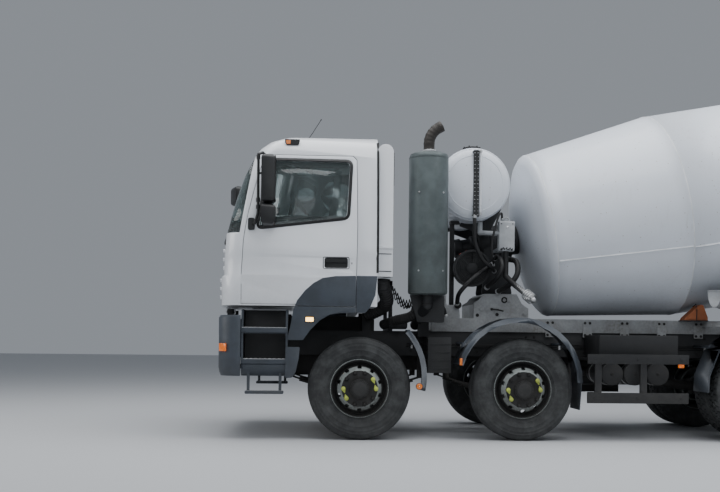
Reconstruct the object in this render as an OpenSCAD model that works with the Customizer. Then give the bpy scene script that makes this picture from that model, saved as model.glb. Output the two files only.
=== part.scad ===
// Eight-wheeled concrete mixer truck: two steered axles, two driven axles with twin wheels.
// +X points forward, +Y to the truck's left and +Z up; the ground is z = 0.
// Every module draws from the first axle and placed() moves it to the truck's middle.

/* [Axles] */
// Distance between the two steered axles
steer_axle_gap = 1700; // [1600:10:1900]
// Distance from the first steered axle to the first driven axle
drive_axle_x = 4250; // [4200:10:4600]
// Distance between the two driven axles
tandem_gap = 1350; // [1310:10:1400]
// Distance of a steered wheel's centre plane from the truck's middle
steer_track_y = 1017; // [990:1:1030]
// Distance of a twin wheel's mounting plane from the truck's middle
twin_mount_y = 912; // [890:1:920]
// Distance of a kingpin from the truck's middle
kingpin_y = 930; // [915:1:940]

/* [Tyres] */
// Rolling radius of the tyres
tyre_r = 533; // [505:1:540]
// Width of a tyre at its widest
tyre_w = 310; // [280:1:314]
// Radius of the seat where tyre and rim meet
seat_r = 286; // [280:1:290]
// Distance from a wheel's centre plane to the face that bolts to its hub
wheel_offset = 175; // [165:1:180]

/* [Frame] */
// Half of the frame's width, outside face to outside face
rail_y = 425; // [410:1:440]
// Height of the underside of the frame rails
rail_z = 865; // [845:5:880]
// Height of a frame rail
rail_h = 270; // [250:5:280]
// Distance from the first axle to the frame's rear end
rail_rear = 6350; // [6300:10:6400]
// Height of the mixer's subframe above the rails
subframe_h = 149; // [130:1:160]

/* [Cab] */
// Distance from the first axle to the front of the bumper
front_overhang = 1500; // [1480:5:1520]
// Half of the cab's width
cab_y = 1235; // [1200:5:1240]
// Distance from the first axle back to the cab's rear wall
cab_rear = 170; // [150:5:190]
// Height of the underside of the cab
cab_z = 1375; // [1365:5:1385]
// Height of the roof's crown
roof_z = 3165; // [3140:5:3200]
// Thickness of the cab's walls and doors
wall_t = 60; // [50:1:70]

/* [Drum] */
// Angle of the drum's axis above the horizontal
drum_tilt = 10; // [9:0.5:11]
// Largest radius of the drum
drum_r = 1150; // [1100:5:1160]
// Height of the drum's axis at its front end
drum_z = 2203; // [2190:1:2240]
// Distance from the first axle to the front end of the drum's axis
drum_front = 1810; // [1800:5:1840]

/* [Chute] */
// Inner radius of the discharge chute
chute_r = 230; // [200:5:250]
// Length of the discharge chute behind its pivot
chute_len = 1150; // [1050:10:1200]

/* [Hidden] */
AXLE_X = [0, -steer_axle_gap, -drive_axle_x, -drive_axle_x - tandem_gap];
CHUTE_X = -rail_rear - 330;
CHUTE_TILT = 14;
CHUTE_T = 8;
CHUTE_LEAD = 60;
CHUTE_END = CHUTE_X - (chute_len - CHUTE_LEAD) * cos(CHUTE_TILT) - (chute_r + CHUTE_T) * sin(CHUTE_TILT);
ORIGIN_X = -(front_overhang + CHUTE_END) / 2;
RAIL_TOP = rail_z + rail_h;
SUB_TOP = RAIL_TOP + subframe_h;
HUB_R = 45;
FIT = 0.05;
SEAT_GAP = 0.3;

$fn = 48;

function arc(c, r, from, to, n = 8) =
    [for (i = [0:n]) let (a = from + (to - from) * i / n) [c.x + r * cos(a), c.y + r * sin(a)]];

// Outline of a rectangle with rounded corners, between pairs of coordinates
function rounded(x, y, r) = concat(
    arc([max(x) - r, max(y) - r], r, 0, 90, 4), arc([min(x) + r, max(y) - r], r, 90, 180, 4),
    arc([min(x) + r, min(y) + r], r, 180, 270, 4), arc([max(x) - r, min(y) + r], r, 270, 360, 4));
// The same outline with each corner rounded over a length r of its sides
function soft(p, r, n = 2) = [for (i = [0:len(p) - 1])
    let (b = p[i], u = p[(i + len(p) - 1) % len(p)] - b, v = p[(i + 1) % len(p)] - b)
        for (k = [0:n]) b + r * (pow(1 - k / n, 2) * u / norm(u) + pow(k / n, 2) * v / norm(v))];

// Moves what is drawn from the first axle to the truck's own origin
module placed() translate([ORIGIN_X, 0, 0]) children();
// Draws its children on the left side and mirrored on the right
module both() { children(); mirror([0, 1, 0]) children(); }
// Draws its children on one side only
module side(s) scale_side(s) children();
module scale_side(s) { if (s > 0) children(); else mirror([0, 1, 0]) children(); }
// A box between pairs of coordinates
module block(x, y, z) translate([min(x), min(y), min(z)])
    cube([abs(x[1] - x[0]), abs(y[1] - y[0]), abs(z[1] - z[0])]);
// An outline seen from the side, carried across the truck between two distances
module slab(outline, y) translate([0, max(y), 0]) rotate([90, 0, 0])
    linear_extrude(abs(y[1] - y[0])) polygon(outline);
// An outline seen from the front, carried along the truck between two distances
module plate(outline, x) translate([min(x), 0, 0]) rotate([90, 0, 90])
    linear_extrude(abs(x[1] - x[0])) polygon(outline);
// A round bar between two points
module rod(p, q, r) let (d = q - p, l = norm(d))
    translate(p) rotate([0, acos(d.z / l), atan2(d.y, d.x)]) cylinder(r = r, h = l);
// A bent pipe with a ball at each point of its route
module pipe(route, r) {
    for (i = [0:len(route) - 2]) rod(route[i], route[i + 1], r);
    for (p = route) translate(p) sphere(r = r * 1.03, $fn = 24);
}
// A cylinder that lies across the truck
module axis_y(r, y) translate([0, min(y), 0]) rotate([-90, 0, 0]) cylinder(r = r, h = abs(y[1] - y[0]));
// A cylinder that lies along the truck
module axis_x(r, x) translate([min(x), 0, 0]) rotate([0, 90, 0]) cylinder(r = r, h = abs(x[1] - x[0]));
// A closed skin through rings of points, all with the same number of points
module loft(rings) {
    n = len(rings[0]);
    m = len(rings);
    polyhedron(
        points = [for (ring = rings) each ring],
        faces = concat(
            [[for (i = [0:n - 1]) i]],
            [for (k = [0:m - 2], i = [0:n - 1]) let (j = (i + 1) % n)
                [k * n + i, (k + 1) * n + i, (k + 1) * n + j, k * n + j]],
            [[for (i = [n - 1:-1:0]) (m - 1) * n + i]]),
        convexity = 6);
}

// Wheels

// The tyre's half section: height from seat to tread, then width, both as shares
TYRE_HALF = [[0, 0.70], [0.07, 0.735], [0.2, 0.88], [0.42, 0.985], [0.6, 1], [0.78, 0.965],
    [0.9, 0.9], [0.955, 0.84], [0.99, 0.75], [1, 0.4]];
function tyre_point(p, s) = [seat_r + p[0] * (tyre_r - seat_r), s * p[1] * tyre_w / 2];
TYRE_SECTION = concat([for (p = TYRE_HALF) tyre_point(p, 1)],
    [for (i = [len(TYRE_HALF) - 1:-1:0]) tyre_point(TYRE_HALF[i], -1)]);
RIM_Y = tyre_w * 0.38;
RIM_SECTION = [[seat_r + 17, RIM_Y + 12], [seat_r + 17, RIM_Y + 4], [seat_r, RIM_Y], [seat_r, 78],
    [seat_r - 22, 56], [seat_r - 22, -56], [seat_r, -78], [seat_r, -RIM_Y],
    [seat_r + 17, -RIM_Y - 4], [seat_r + 17, -RIM_Y - 12], [seat_r + 4, -RIM_Y - 10],
    [seat_r - 10, -RIM_Y + 6], [seat_r - 12, -82], [seat_r - 34, -60], [seat_r - 34, 60],
    [seat_r - 12, 82], [seat_r - 10, RIM_Y - 6], [seat_r + 4, RIM_Y + 10]];
// The disc's section from the rim's well out to the face that bolts to the hub
DISC_SECTION = [[seat_r - 26, 40], [seat_r - 26, 57], [seat_r - 36, 78], [seat_r - 58, 132],
    [seat_r - 84, wheel_offset - 2], [seat_r - 100, wheel_offset + 10], [100, wheel_offset + 10],
    [100, wheel_offset], [seat_r - 104, wheel_offset], [seat_r - 92, wheel_offset - 12],
    [seat_r - 70, 124], [seat_r - 46, 68], [seat_r - 33.5, 40]];
NUT_COUNT = 10;
NUT_PCD_R = 167.5;
HAND_HOLE_R = 21;

module spin_section(section) rotate([-90, 0, 0]) rotate_extrude($fn = 96) polygon(section);
module tyre_ring() color([0.07, 0.07, 0.07]) spin_section(TYRE_SECTION);
// Rim and disc; the face that bolts to the hub is wheel_offset outboard of the centre plane
module rim_ring() {
    spin_section(RIM_SECTION);
    difference() {
        spin_section(DISC_SECTION);
        for (i = [0:NUT_COUNT - 1]) rotate([0, (i + 0.5) * 360 / NUT_COUNT, 0])
            translate([seat_r - 68, 60, 0]) axis_y(HAND_HOLE_R, [0, 130]);
    }
}
module nuts(y) for (i = [0:NUT_COUNT - 1]) rotate([0, i * 360 / NUT_COUNT, 0])
    translate([NUT_PCD_R, y - 2, 0]) rotate([-90, 0, 0]) cylinder(r = 17, h = 28, $fn = 6);
module at_wheel(axle, y) placed() translate([AXLE_X[axle], y, tyre_r]) children();

module steer_tyre(axle) at_wheel(axle, steer_track_y) tyre_ring();
// The rim with its hub, which runs on the knuckle's stub
module steer_rim(axle) at_wheel(axle, steer_track_y) color([0.62, 0.64, 0.66]) {
    rim_ring();
    nuts(wheel_offset + 10);
    difference() {
        union() {
            axis_y(190, [wheel_offset - 16, wheel_offset]);
            axis_y(100, [-7, wheel_offset + 34]);
            axis_y(84, [wheel_offset + 33, wheel_offset + 48]);
            difference() {
                axis_y(205, [-7, wheel_offset - 15]);
                axis_y(190, [-8, wheel_offset - 30]);
            }
        }
        axis_y(HUB_R + FIT, [-8, wheel_offset + 10]);
    }
}
TWIN_OUT = twin_mount_y + wheel_offset;
TWIN_IN = twin_mount_y - wheel_offset;
module twin_tyres(axle) for (y = [TWIN_IN, TWIN_OUT]) at_wheel(axle, y) tyre_ring();
// Both rims of a pair, bolted back to back on their hub and brake drum
module twin_rims(axle) color([0.62, 0.64, 0.66]) {
    at_wheel(axle, TWIN_IN) rim_ring();
    at_wheel(axle, TWIN_OUT) mirror([0, 1, 0]) rim_ring();
    at_wheel(axle, twin_mount_y) {
        nuts(10);
        difference() {
            union() {
                axis_y(190, [-16, 0]);
                axis_y(105, [-270, 150]);
                axis_y(88, [149, 185]);
                difference() {
                    axis_y(205, [-280, -15]);
                    axis_y(190, [-281, -30]);
                }
            }
            axis_y(HUB_R + FIT, [-282, 120]);
        }
    }
}

// Knuckles: fork lugs above and below the beam's eye, kingpin, stub and steering arm
EYE_R = 55;
PIN_R = 25;
EYE_H = 110;
LUG_H = 40;
LUG_GAP = 0.5;
module knuckle(axle) at_wheel(axle, 0) color([0.12, 0.12, 0.13]) {
    translate([0, kingpin_y, 0]) {
        translate([0, 0, -EYE_H / 2 - LUG_H]) cylinder(r = PIN_R, h = EYE_H + 2 * LUG_H);
        for (z = [EYE_H / 2 + LUG_GAP, -EYE_H / 2 - LUG_H - LUG_GAP]) translate([0, 0, z]) {
            cylinder(r = EYE_R - 5, h = LUG_H);
            block([-40, 40], [0, 64], [0, LUG_H]);
        }
        block([-40, 40], [60, 74], [-EYE_H / 2 - LUG_H - LUG_GAP, EYE_H / 2 + LUG_H + LUG_GAP]);
        block([-190, 0], [20, 50], [-EYE_H / 2 - LUG_H, -EYE_H / 2 - 10 - LUG_GAP]);
    }
    axis_y(HUB_R, [kingpin_y + 70, steer_track_y + wheel_offset - 30]);
}

// Axles, springs and drive line

BEAM_DROP = 130;
PAD_Y = 400;
// The front axle beam seen from the front, from its middle to the kingpin eye
module steer_beam(axle) at_wheel(axle, 0) {
    both() {
        difference() {
            union() {
                translate([0, kingpin_y, -EYE_H / 2]) cylinder(r = EYE_R, h = EYE_H);
                plate([[0, -BEAM_DROP - 50], [PAD_Y + 100, -BEAM_DROP - 50], [kingpin_y - 90, -50],
                    [kingpin_y, -45], [kingpin_y, 45], [kingpin_y - 120, 45],
                    [PAD_Y + 90, -BEAM_DROP + 45], [0, -BEAM_DROP + 45]], [-42, 42]);
            }
            translate([0, kingpin_y, -EYE_H]) cylinder(r = PIN_R + FIT, h = 2 * EYE_H);
        }
    }
}
// A driven axle: banjo housing, tubes and spindles
module drive_housing(axle) at_wheel(axle, 0) {
    axis_x(215, [-150, 150]);
    axis_x(90, [149, 330]);
    both() {
        axis_y(70, [0, TWIN_IN - 150]);
        axis_y(HUB_R, [TWIN_IN - 151, twin_mount_y + 60]);
    }
}
SHAFT_FRONT = [-1080, 0, 900];
module axles() color([0.13, 0.13, 0.14]) {
    for (axle = [0, 1]) steer_beam(axle);
    for (axle = [2, 3]) drive_housing(axle);
    placed() {
        rod(SHAFT_FRONT, [AXLE_X[2] + 300, 0, tyre_r], 55);
        rod([AXLE_X[2] - 140, 0, tyre_r + 60], [AXLE_X[3] + 140, 0, tyre_r], 45);
    }
}
LEAF_T = 16;
// A pack of leaves bent to one curve: half length at the eyes, rise of the ends, leaf count
module leaf_pack(half, rise, count) {
    r = (half * half + rise * rise) / (2 * abs(rise));
    s = sign(rise);
    for (i = [0:count - 1]) {
        reach = asin(half * (1 - 0.14 * i) / r);
        inner = r - (s > 0 ? -i * LEAF_T : (i + 1) * LEAF_T);
        c = [0, s * r];
        mid = s > 0 ? -90 : 90;
        slab(concat(arc(c, inner, mid - reach, mid + reach, 10),
            arc(c, inner + LEAF_T + 0.4, mid + reach, mid - reach, 10)), [-45, 45]);
    }
}
module leaf_springs() placed() color([0.11, 0.11, 0.12]) {
    both() for (axle = [0, 1]) translate([AXLE_X[axle], PAD_Y, tyre_r - BEAM_DROP + 45]) {
        translate([0, 0, 64.7]) leaf_pack(720, 130, 4);
        block([-70, 70], [-45, 45], [0, 20]);
        for (x = [-1, 1]) translate([x * 705, 0, 190]) {
            block([-28, 28], [-45, 45], [-20, rail_z - (tyre_r - BEAM_DROP + 45) - 190]);
        }
    }
    both() translate([(AXLE_X[2] + AXLE_X[3]) / 2, PAD_Y, rail_z - 60]) {
        leaf_pack(tandem_gap / 2 - 5, -90, 5);
        block([-90, 90], [-50, 50], [-4, 60]);
    }
    both() for (axle = [2, 3]) translate([AXLE_X[axle], PAD_Y, 0])
        block([-60, 60], [-50, 50], [tyre_r + 70.3, rail_z - 148]);
}

// Frame

BUMPER_T = 60;
FRONT_END = front_overhang - BUMPER_T - 8.5;
CROSS_X = [FRONT_END - 60, -420, -1150, -2450, -3300, AXLE_X[2] - tandem_gap / 2, -rail_rear + 60];
RAIL_T = 9;
FLANGE_W = 80;
RAIL_SECTION = [[rail_y, rail_z], [rail_y, RAIL_TOP], [rail_y - FLANGE_W, RAIL_TOP],
    [rail_y - FLANGE_W, RAIL_TOP - RAIL_T], [rail_y - RAIL_T, RAIL_TOP - RAIL_T],
    [rail_y - RAIL_T, rail_z + RAIL_T], [rail_y - FLANGE_W, rail_z + RAIL_T],
    [rail_y - FLANGE_W, rail_z]];
TILT_X = front_overhang - 90;
TILT_Z = cab_z - 40;
TILT_Y = 390;
TILT_R = 18;
UNDERRUN_Z = [430, 550];
module frame_rails() placed() color([0.10, 0.10, 0.11]) {
    both() plate(RAIL_SECTION, [-rail_rear, FRONT_END]);
    for (x = CROSS_X) block([x - 45, x + 45], [-rail_y + 5, rail_y - 5], [RAIL_TOP - 85, RAIL_TOP - 20]);
    both() {
        // Cab tilt bracket and its pin
        block([TILT_X - 60, TILT_X + 12], [rail_y - 70, rail_y - 55], [RAIL_TOP - 5, TILT_Z + 22]);
        translate([TILT_X, 0, TILT_Z]) axis_y(TILT_R, [rail_y - 120, rail_y - 56]);
        // Rear cab support
        block([-cab_rear + 20, -cab_rear + 110], [rail_y - 60, rail_y], [RAIL_TOP - 1, cab_z - 30]);
        // Lamp plate and arm of the rear bumper bar
        block([-rail_rear - 8, -rail_rear], [rail_y - 1, TAIL_LAMP_Y[1]],
            [TAIL_LAMP_Z[0], rail_z + 5]);
        block([-rail_rear + 5, -rail_rear + 85], [rail_y - 90, rail_y - 10],
            [UNDERRUN_Z[1] - 1, rail_z + 1]);
    }
    block([-rail_rear - 20, -rail_rear + 90], [-1180, 1180], UNDERRUN_Z);
    block([-rail_rear - 8, -rail_rear], [-rail_y, rail_y], [rail_z, RAIL_TOP]);
    swivel_post();
}
ENGINE_X = [front_overhang - 330, -200];
module engine() placed() color([0.25, 0.26, 0.27]) {
    block(ENGINE_X, [-330, 330], [640, 1290]);
    block([ENGINE_X[1] + 1, SHAFT_FRONT.x + 10], [-210, 210], [700, RAIL_TOP - 90]);
    block([ENGINE_X[0] - 1, ENGINE_X[0] + 90], [-300, 300], [760, 1240]);
    // Mounts on the rails' webs
    both() for (mount = [[600, 329], [-640, 209]]) block([mount.x, mount.x + 100],
        [mount.y, rail_y - RAIL_T - SEAT_GAP], [950, 1010]);
}

// Bumper, lamps and steps

BUMPER_Z = [655, 1275];
BUMPER_BOW = 45;
BUMPER_R = 200;
BUMPER_SIDE = 235;
BUMPER_Y = 1245;
// Front outline from above: bow across the middle, then a rounded corner
function front_plan(front, half, corner, bow, back) = let (flat = half - corner) concat(
    [for (i = [-4:4]) [front - bow * pow(i / 4, 2), flat * i / 4]],
    arc([front - bow - corner, flat], corner, 0, 90, 6),
    [[back, half], [back, -half]],
    arc([front - bow - corner, -flat], corner, -90, 0, 6));
GRILLE_Z = [[765, 800], [830, 880], [1130, 1200]];
HEADLAMP_Y = [760, 1080];
HEADLAMP_Z = [930, 1090];
FOG_Y = [900, 1050];
FOG_Z = [725, 805];
// Levels of the bumper's face from below, and how far each stands back
BUMPER_FACE = [[BUMPER_Z[0], 24], [690, 9], [740, 0], [1248, 0], [BUMPER_Z[1], 18]];
module bumper() placed() color([0.36, 0.40, 0.43]) difference() {
    loft([for (level = BUMPER_FACE) let (back = level[1])
        [for (p = front_plan(front_overhang - back, BUMPER_Y - back / 2, BUMPER_R - back / 2, BUMPER_BOW,
            front_overhang - BUMPER_BOW - BUMPER_SIDE)) [p.x, p.y, level[0]]]]);
    translate([0, 0, BUMPER_Z[0] - 1]) linear_extrude(BUMPER_Z[1] - BUMPER_Z[0] + 2)
        polygon(front_plan(front_overhang - BUMPER_T, BUMPER_Y - 40, BUMPER_R - 35, BUMPER_BOW,
            front_overhang - 400));
    for (z = GRILLE_Z) block([front_overhang - 200, front_overhang + 10], [-560, 560], z);
    // Foot recess in the top edge, openings of the headlamps and fog lamps
    block([front_overhang - 200, front_overhang + 10], [-260, 260], [1238, BUMPER_Z[1] + 1]);
    both() {
        plate(rounded(HEADLAMP_Y, HEADLAMP_Z, 32), [front_overhang - 250, front_overhang + 10]);
        plate(rounded(FOG_Y, FOG_Z, 26), [front_overhang - 250, front_overhang + 10]);
    }
}
LAMP_FACE = front_overhang - 75;
TAIL_LAMP_Y = [640, 1080];
TAIL_LAMP_Z = [700, 830];
module lamps() placed() both() {
    color([0.9, 0.92, 0.95]) {
        plate(rounded(HEADLAMP_Y, HEADLAMP_Z, 32), [LAMP_FACE - 80, LAMP_FACE]);
        plate(rounded(FOG_Y, FOG_Z, 26), [LAMP_FACE - 90, LAMP_FACE - 20]);
    }
    color([0.9, 0.45, 0.05]) {
        translate([front_overhang - BUMPER_BOW - BUMPER_R, BUMPER_Y - BUMPER_R, 0]) rotate([0, 0, 45])
            block([BUMPER_R + 0.3, BUMPER_R + 16], [-50, 50], [905, 985]);
        block([-3330, -3390], [GUARD_Y - 22, GUARD_Y], [775, 810]);
        translate([AXLE_X[1] + FENDER_2.x + 612, FENDER_Y[1], FENDER_2.y + 196])
            block([-13, 13], [0, 14], [-35, 35]);
    }
    color([0.6, 0.05, 0.04]) block([-rail_rear - 60, -rail_rear - 8], TAIL_LAMP_Y, TAIL_LAMP_Z);
}
STEP_X = [740, front_overhang - BUMPER_SIDE - 50];
STEP_IN = 850;
STEP_OUT = BUMPER_Y - 25;
// Tops of the two treads, depth of their pans, and the underside of the step box
TREAD_Z = [1150, 830];
TREAD_H = 60;
STEP_LOW = 655;
// A tread from front to rear: a pan with a raised nose and a sunken deck
module tread(z) plate([[STEP_IN, z - TREAD_H], [STEP_OUT - 14, z - TREAD_H], [STEP_OUT, z - TREAD_H + 14],
    [STEP_OUT, z - 7], [STEP_OUT - 7, z], [STEP_OUT - 26, z], [STEP_OUT - 34, z - 12],
    [STEP_IN + 44, z - 12], [STEP_IN + 36, z], [STEP_IN, z]], STEP_X);
FLARE_Y = [BUMPER_Y - 85, cab_y + 12];
// Gap between the part of the wheel arch's flare on the chassis and the part on the cab
FLARE_SPLIT = [cab_z - 7, cab_z];
FLARE_FRONT = [[748, 1025], [712, 1178], [687, 1331], [672, FLARE_SPLIT[0]]];
FLARE_ARCH = [[208, 1306], [310, 1290], [412, 1232], [514, 1129], [585, 1026]];
// Step box on each side: back panel, end panels, two treads and a curved skirt, with a hanging step
module steps() placed() color([0.33, 0.36, 0.39]) both() {
    x0 = STEP_X[0];
    x1 = STEP_X[1];
    block([x0, x1], [STEP_IN, STEP_IN + 20], [STEP_LOW, cab_z - 40]);
    for (z = TREAD_Z) tread(z);
    plate([[STEP_OUT - 4, TREAD_Z[1] - TREAD_H + 2], [STEP_OUT - 14, 735], [STEP_OUT - 40, 695],
        [STEP_OUT - 80, STEP_LOW], [STEP_OUT - 104, STEP_LOW], [STEP_OUT - 58, 702],
        [STEP_OUT - 34, 740], [STEP_OUT - 26, TREAD_Z[1] - TREAD_H + 2]], STEP_X);
    for (x = [x0, x1 - 22]) plate([[STEP_IN, STEP_LOW], [STEP_OUT - 92, STEP_LOW], [STEP_OUT - 20, 735],
        [STEP_OUT - 6, 800], [STEP_OUT - 6, TREAD_Z[0]], [STEP_OUT - 60, cab_z - 40],
        [STEP_IN, cab_z - 40]], [x, x + 22]);
    // Corner piece behind the lower tread, and the flare over the wheel
    slab(soft([[x0 + 22, 954], [616, 954], [626, 842], [656, 700], [690, 643], [x0 + 22, 636]], 14),
        [FLARE_Y[0], STEP_OUT + 24]);
    slab(concat(FLARE_FRONT, [[DOOR_X[1] + DOOR_GAP, FLARE_SPLIT[0]], [DOOR_X[1] + DOOR_GAP, 1309]],
        FLARE_ARCH), FLARE_Y);
    for (x = [x0 + 60, x1 - 90]) block([x, x + 30], [STEP_OUT - 60, STEP_OUT - 45], [500, 690]);
    slab(rounded([x0 + 40, x1 - 40], [472, 503], 12), [STEP_OUT - 130, STEP_OUT - 20]);
    block([x0 + 100, x1 - 100], [rail_y, STEP_IN + 1], [900, 960]);
}

// Fenders

FENDER_Y = [830, 1225];
FENDER_T = 14;
LIP_H = 55;
// A bent strip with a lip along its outer edge
module fender(c, r, from, to) {
    slab(concat(arc(c, r, from, to, 16), arc(c, r - FENDER_T, to, from, 16)), FENDER_Y);
    slab(concat(arc(c, r, from, to, 16), arc(c, r - LIP_H, to, from, 16)), [FENDER_Y[1] - 14, FENDER_Y[1]]);
}
// A bar from the frame to a point of a fender's arc
module fender_stay(c, r, a) let (p = [c.x + (r - FENDER_T / 2) * cos(a), c.y + (r - FENDER_T / 2) * sin(a)])
    translate([p.x, 0, p.y]) axis_y(14, [rail_y, FENDER_Y[0] + 60]);
// A flap that hangs from a fender's rear end: its place along, its top and its foot
module mud_flap(x, top, foot) slab([[x + 2, top], [x + 10, top], [x + 30, foot], [x + 22, foot]],
    [FENDER_Y[0] + 8, FENDER_Y[1] - 14]);
FENDER_1 = [30, tyre_r + 130];
FENDER_2 = [50, tyre_r + 90];
FENDER_3 = [0, tyre_r + 20];
module fenders() placed() color([0.36, 0.39, 0.42]) both() {
    fender(FENDER_1, 720, 138, 192);
    fender_stay(FENDER_1, 720, 152);
    translate([AXLE_X[1], 0, 0]) {
        fender(FENDER_2, 660, 15, 181);
        for (a = [36, 144]) fender_stay(FENDER_2, 660, a);
        mud_flap(FENDER_2.x - 660, 645, 330);
    }
    translate([AXLE_X[2], 0, 0]) {
        fender(FENDER_3, 645, 38, 121);
        for (a = [44, 119]) fender_stay(FENDER_3, 645, a);
        slab([[500, 940], [505, 960], [610, 700], [620, 520], [605, 520], [595, 690]], FENDER_Y);
    }
    translate([AXLE_X[3], 0, 0]) {
        fender(FENDER_3, 645, 59, 178);
        for (a = [61, 136]) fender_stay(FENDER_3, 645, a);
        mud_flap(-645, 600, 260);
    }
}

// Side guards and tanks

GUARD_X = [-2370, -3440];
GUARD_Y = 1195;
GUARD_ARMS = [-120, -600];
ARM_H = 30;
module side_guards() placed() color([0.16, 0.17, 0.18]) both() {
    for (z = [[810, 910], [400, 510]]) block(GUARD_X, [GUARD_Y - 25, GUARD_Y], z);
    for (x = GUARD_ARMS) translate([GUARD_X[0] + x, 0, 0]) {
        block([-35, 35], [GUARD_Y - 60, GUARD_Y - 24], [400, rail_z]);
        block([-30, 30], [rail_y - FLANGE_W, GUARD_Y - 40], [rail_z - ARM_H, rail_z]);
    }
}
TANK_X = [-2535, -3380];
AIR_TANK_X = [-2670, -2915, -3160];
AIR_TANK_Z = 700;
AIR_TANK_R = 118;
// Brackets on the rail's web: how far along, how far out
module tank_bracket(x) block([x - 25, x + 25], [rail_y, rail_y + 41], [900, 1000]);
module side_tanks() placed() {
    color([0.20, 0.21, 0.22]) {
        block(TANK_X, [rail_y + 40, 1040], [880, 1110]);
        for (x = AIR_TANK_X, y = [600, 950]) block([x - 15, x + 15], [y - 15, y + 15],
            [AIR_TANK_Z + AIR_TANK_R - 20, 881]);
        for (x = [-2640, -3200]) tank_bracket(x);
        // Battery box behind the first wheel
        block([-735, -985], [rail_y + 40, 900], [690, 1068]);
        tank_bracket(-860);
    }
    color([0.20, 0.21, 0.22]) mirror([0, 1, 0]) {
        for (x = [[TANK_X[0], -2925], [-3015, TANK_X[1]]])
            plate(rounded([rail_y + 40, 1100], [520, 1090], 70), x);
        for (x = [-2640, -3200]) tank_bracket(x);
    }
    color([0.13, 0.13, 0.14]) for (x = AIR_TANK_X) translate([x, 0, AIR_TANK_Z])
        axis_y(AIR_TANK_R, [rail_y + 60, 1060]);
}

// Cab

// Sections of the cab from below: height, front, half width, corner radius
CAB_SECTIONS = [
    [cab_z, front_overhang - 27, cab_y - 16, 190],
    [1665, front_overhang - 24, cab_y - 8, 195],
    [1690, front_overhang - 50, cab_y - 9, 195],
    [1870, front_overhang - 52, cab_y - 9, 200],
    [1915, front_overhang - 56, cab_y, 200],
    [1985, front_overhang - 60, cab_y - 2, 200],
    [2100, front_overhang - 68, cab_y - 2, 205],
    [2300, front_overhang - 112, cab_y - 14, 208],
    [2500, front_overhang - 168, cab_y - 35, 210],
    [2710, front_overhang - 238, cab_y - 64, 205],
    [2910, front_overhang - 338, cab_y - 98, 200],
    [3010, front_overhang - 408, cab_y - 124, 190],
    [3085, front_overhang - 505, cab_y - 170, 175],
    [3135, front_overhang - 620, cab_y - 260, 165],
    [roof_z, front_overhang - 800, cab_y - 440, 160]];
ROOF_EDGE = 2950;
CAB_BOW = 45;
function cab_ring(s, inset, dz) = [for (p = front_plan(s[1] - inset, s[2] - inset, s[3] - inset / 2,
    CAB_BOW, -cab_rear + inset)) [p.x, p.y, s[0] + dz]];
// The cab's outer form drawn in by an inset on every side
module cab_form(inset) loft([for (s = CAB_SECTIONS)
    cab_ring(s, inset, s[0] == cab_z ? inset : s[0] > ROOF_EDGE ? -inset : 0)]);
module cab_skin(from, to) difference() { cab_form(from); cab_form(to); }
DOOR_X = [1222, 45];
DOOR_TOP = 2930;
DOOR_BOTTOM = cab_z + 12;
DOOR_GAP = 6;
// Outline of a door from the side, drawn in by a gap
function door_outline(g) = [[DOOR_X[0] - g, DOOR_BOTTOM + g], [DOOR_X[0] - g, 1700], [1202 - g, 2050],
    [1162 - g, 2300], [1102 - g, 2550], [1030 - g, 2820], [985 - g, 2900 - g], [940 - g, DOOR_TOP - g],
    [DOOR_X[1] + 40 + g, DOOR_TOP - g], [DOOR_X[1] + g, DOOR_TOP - 40 - g], [DOOR_X[1] - 10 + g, 2200],
    [DOOR_X[1] + g, DOOR_BOTTOM + g]];
WINDOW_TOP = DOOR_TOP - 65;
WINDOW = soft([[1048, 2172], [150, 2285], [118, WINDOW_TOP - 5], [925, WINDOW_TOP]], 45);
// The windscreen from the side: it wraps round the cab's corners to a slanted edge
SCREEN = [[1240, 2115], [front_overhang, 2115], [front_overhang, 2920], [1100, 2920]];
DOOR_REACH = [900, cab_y + 60];
SCREEN_REACH = [-cab_y - 10, cab_y + 10];
// What a door takes of its side, drawn in by a gap: all of its outline but the cab's floor
module door_zone(g) difference() {
    slab(door_outline(g), DOOR_REACH);
    block([0, 1300], [DOOR_REACH[0] - 1, cab_y - wall_t + g], [cab_z - 1, cab_z + wall_t + g]);
}
// Heights of the slats across the cab's front, and the thickness and reach of each
SLAT_Z = [1450, 1540, 1630, 1760, 1850, 1940];
SLAT_H = 34;
SLAT_Y = 840;
// A slat that follows the cab's front, from its face out
module slat(z) let (front = z < 1665 ? CAB_SECTIONS[1][1] : CAB_SECTIONS[3][1]) intersection() {
    translate([0, 0, z]) linear_extrude(SLAT_H) difference() {
        polygon(front_plan(front + 16, cab_y, 200, CAB_BOW, 0));
        polygon(front_plan(front - 14, cab_y - 30, 200, CAB_BOW, -10));
    }
    plate(rounded([-SLAT_Y, SLAT_Y], [z, z + SLAT_H], 12), [front - CAB_BOW - 20, front + 30]);
}
module cab_shell() placed() color([0.93, 0.94, 0.94]) {
    difference() {
        cab_skin(0, wall_t);
        both() door_zone(0);
        slab(SCREEN, SCREEN_REACH);
    }
    for (z = SLAT_Z) slat(z);
    both() slab(CAB_FLARE, [cab_y - 30, FLARE_Y[1]]);
    both() translate([TILT_X, 0, TILT_Z]) difference() {
        union() {
            axis_y(TILT_R + 15, [rail_y - 118, rail_y - 78]);
            block([-28, 20], [rail_y - 118, rail_y - 78], [10, 41]);
        }
        axis_y(TILT_R + FIT, [rail_y - 120, rail_y - 70]);
    }
}
module windscreen() placed() color([0.35, 0.45, 0.48, 0.5]) intersection() {
    cab_skin(6, 14);
    slab(SCREEN, SCREEN_REACH);
}
FLARE_TOP = 1687;
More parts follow.
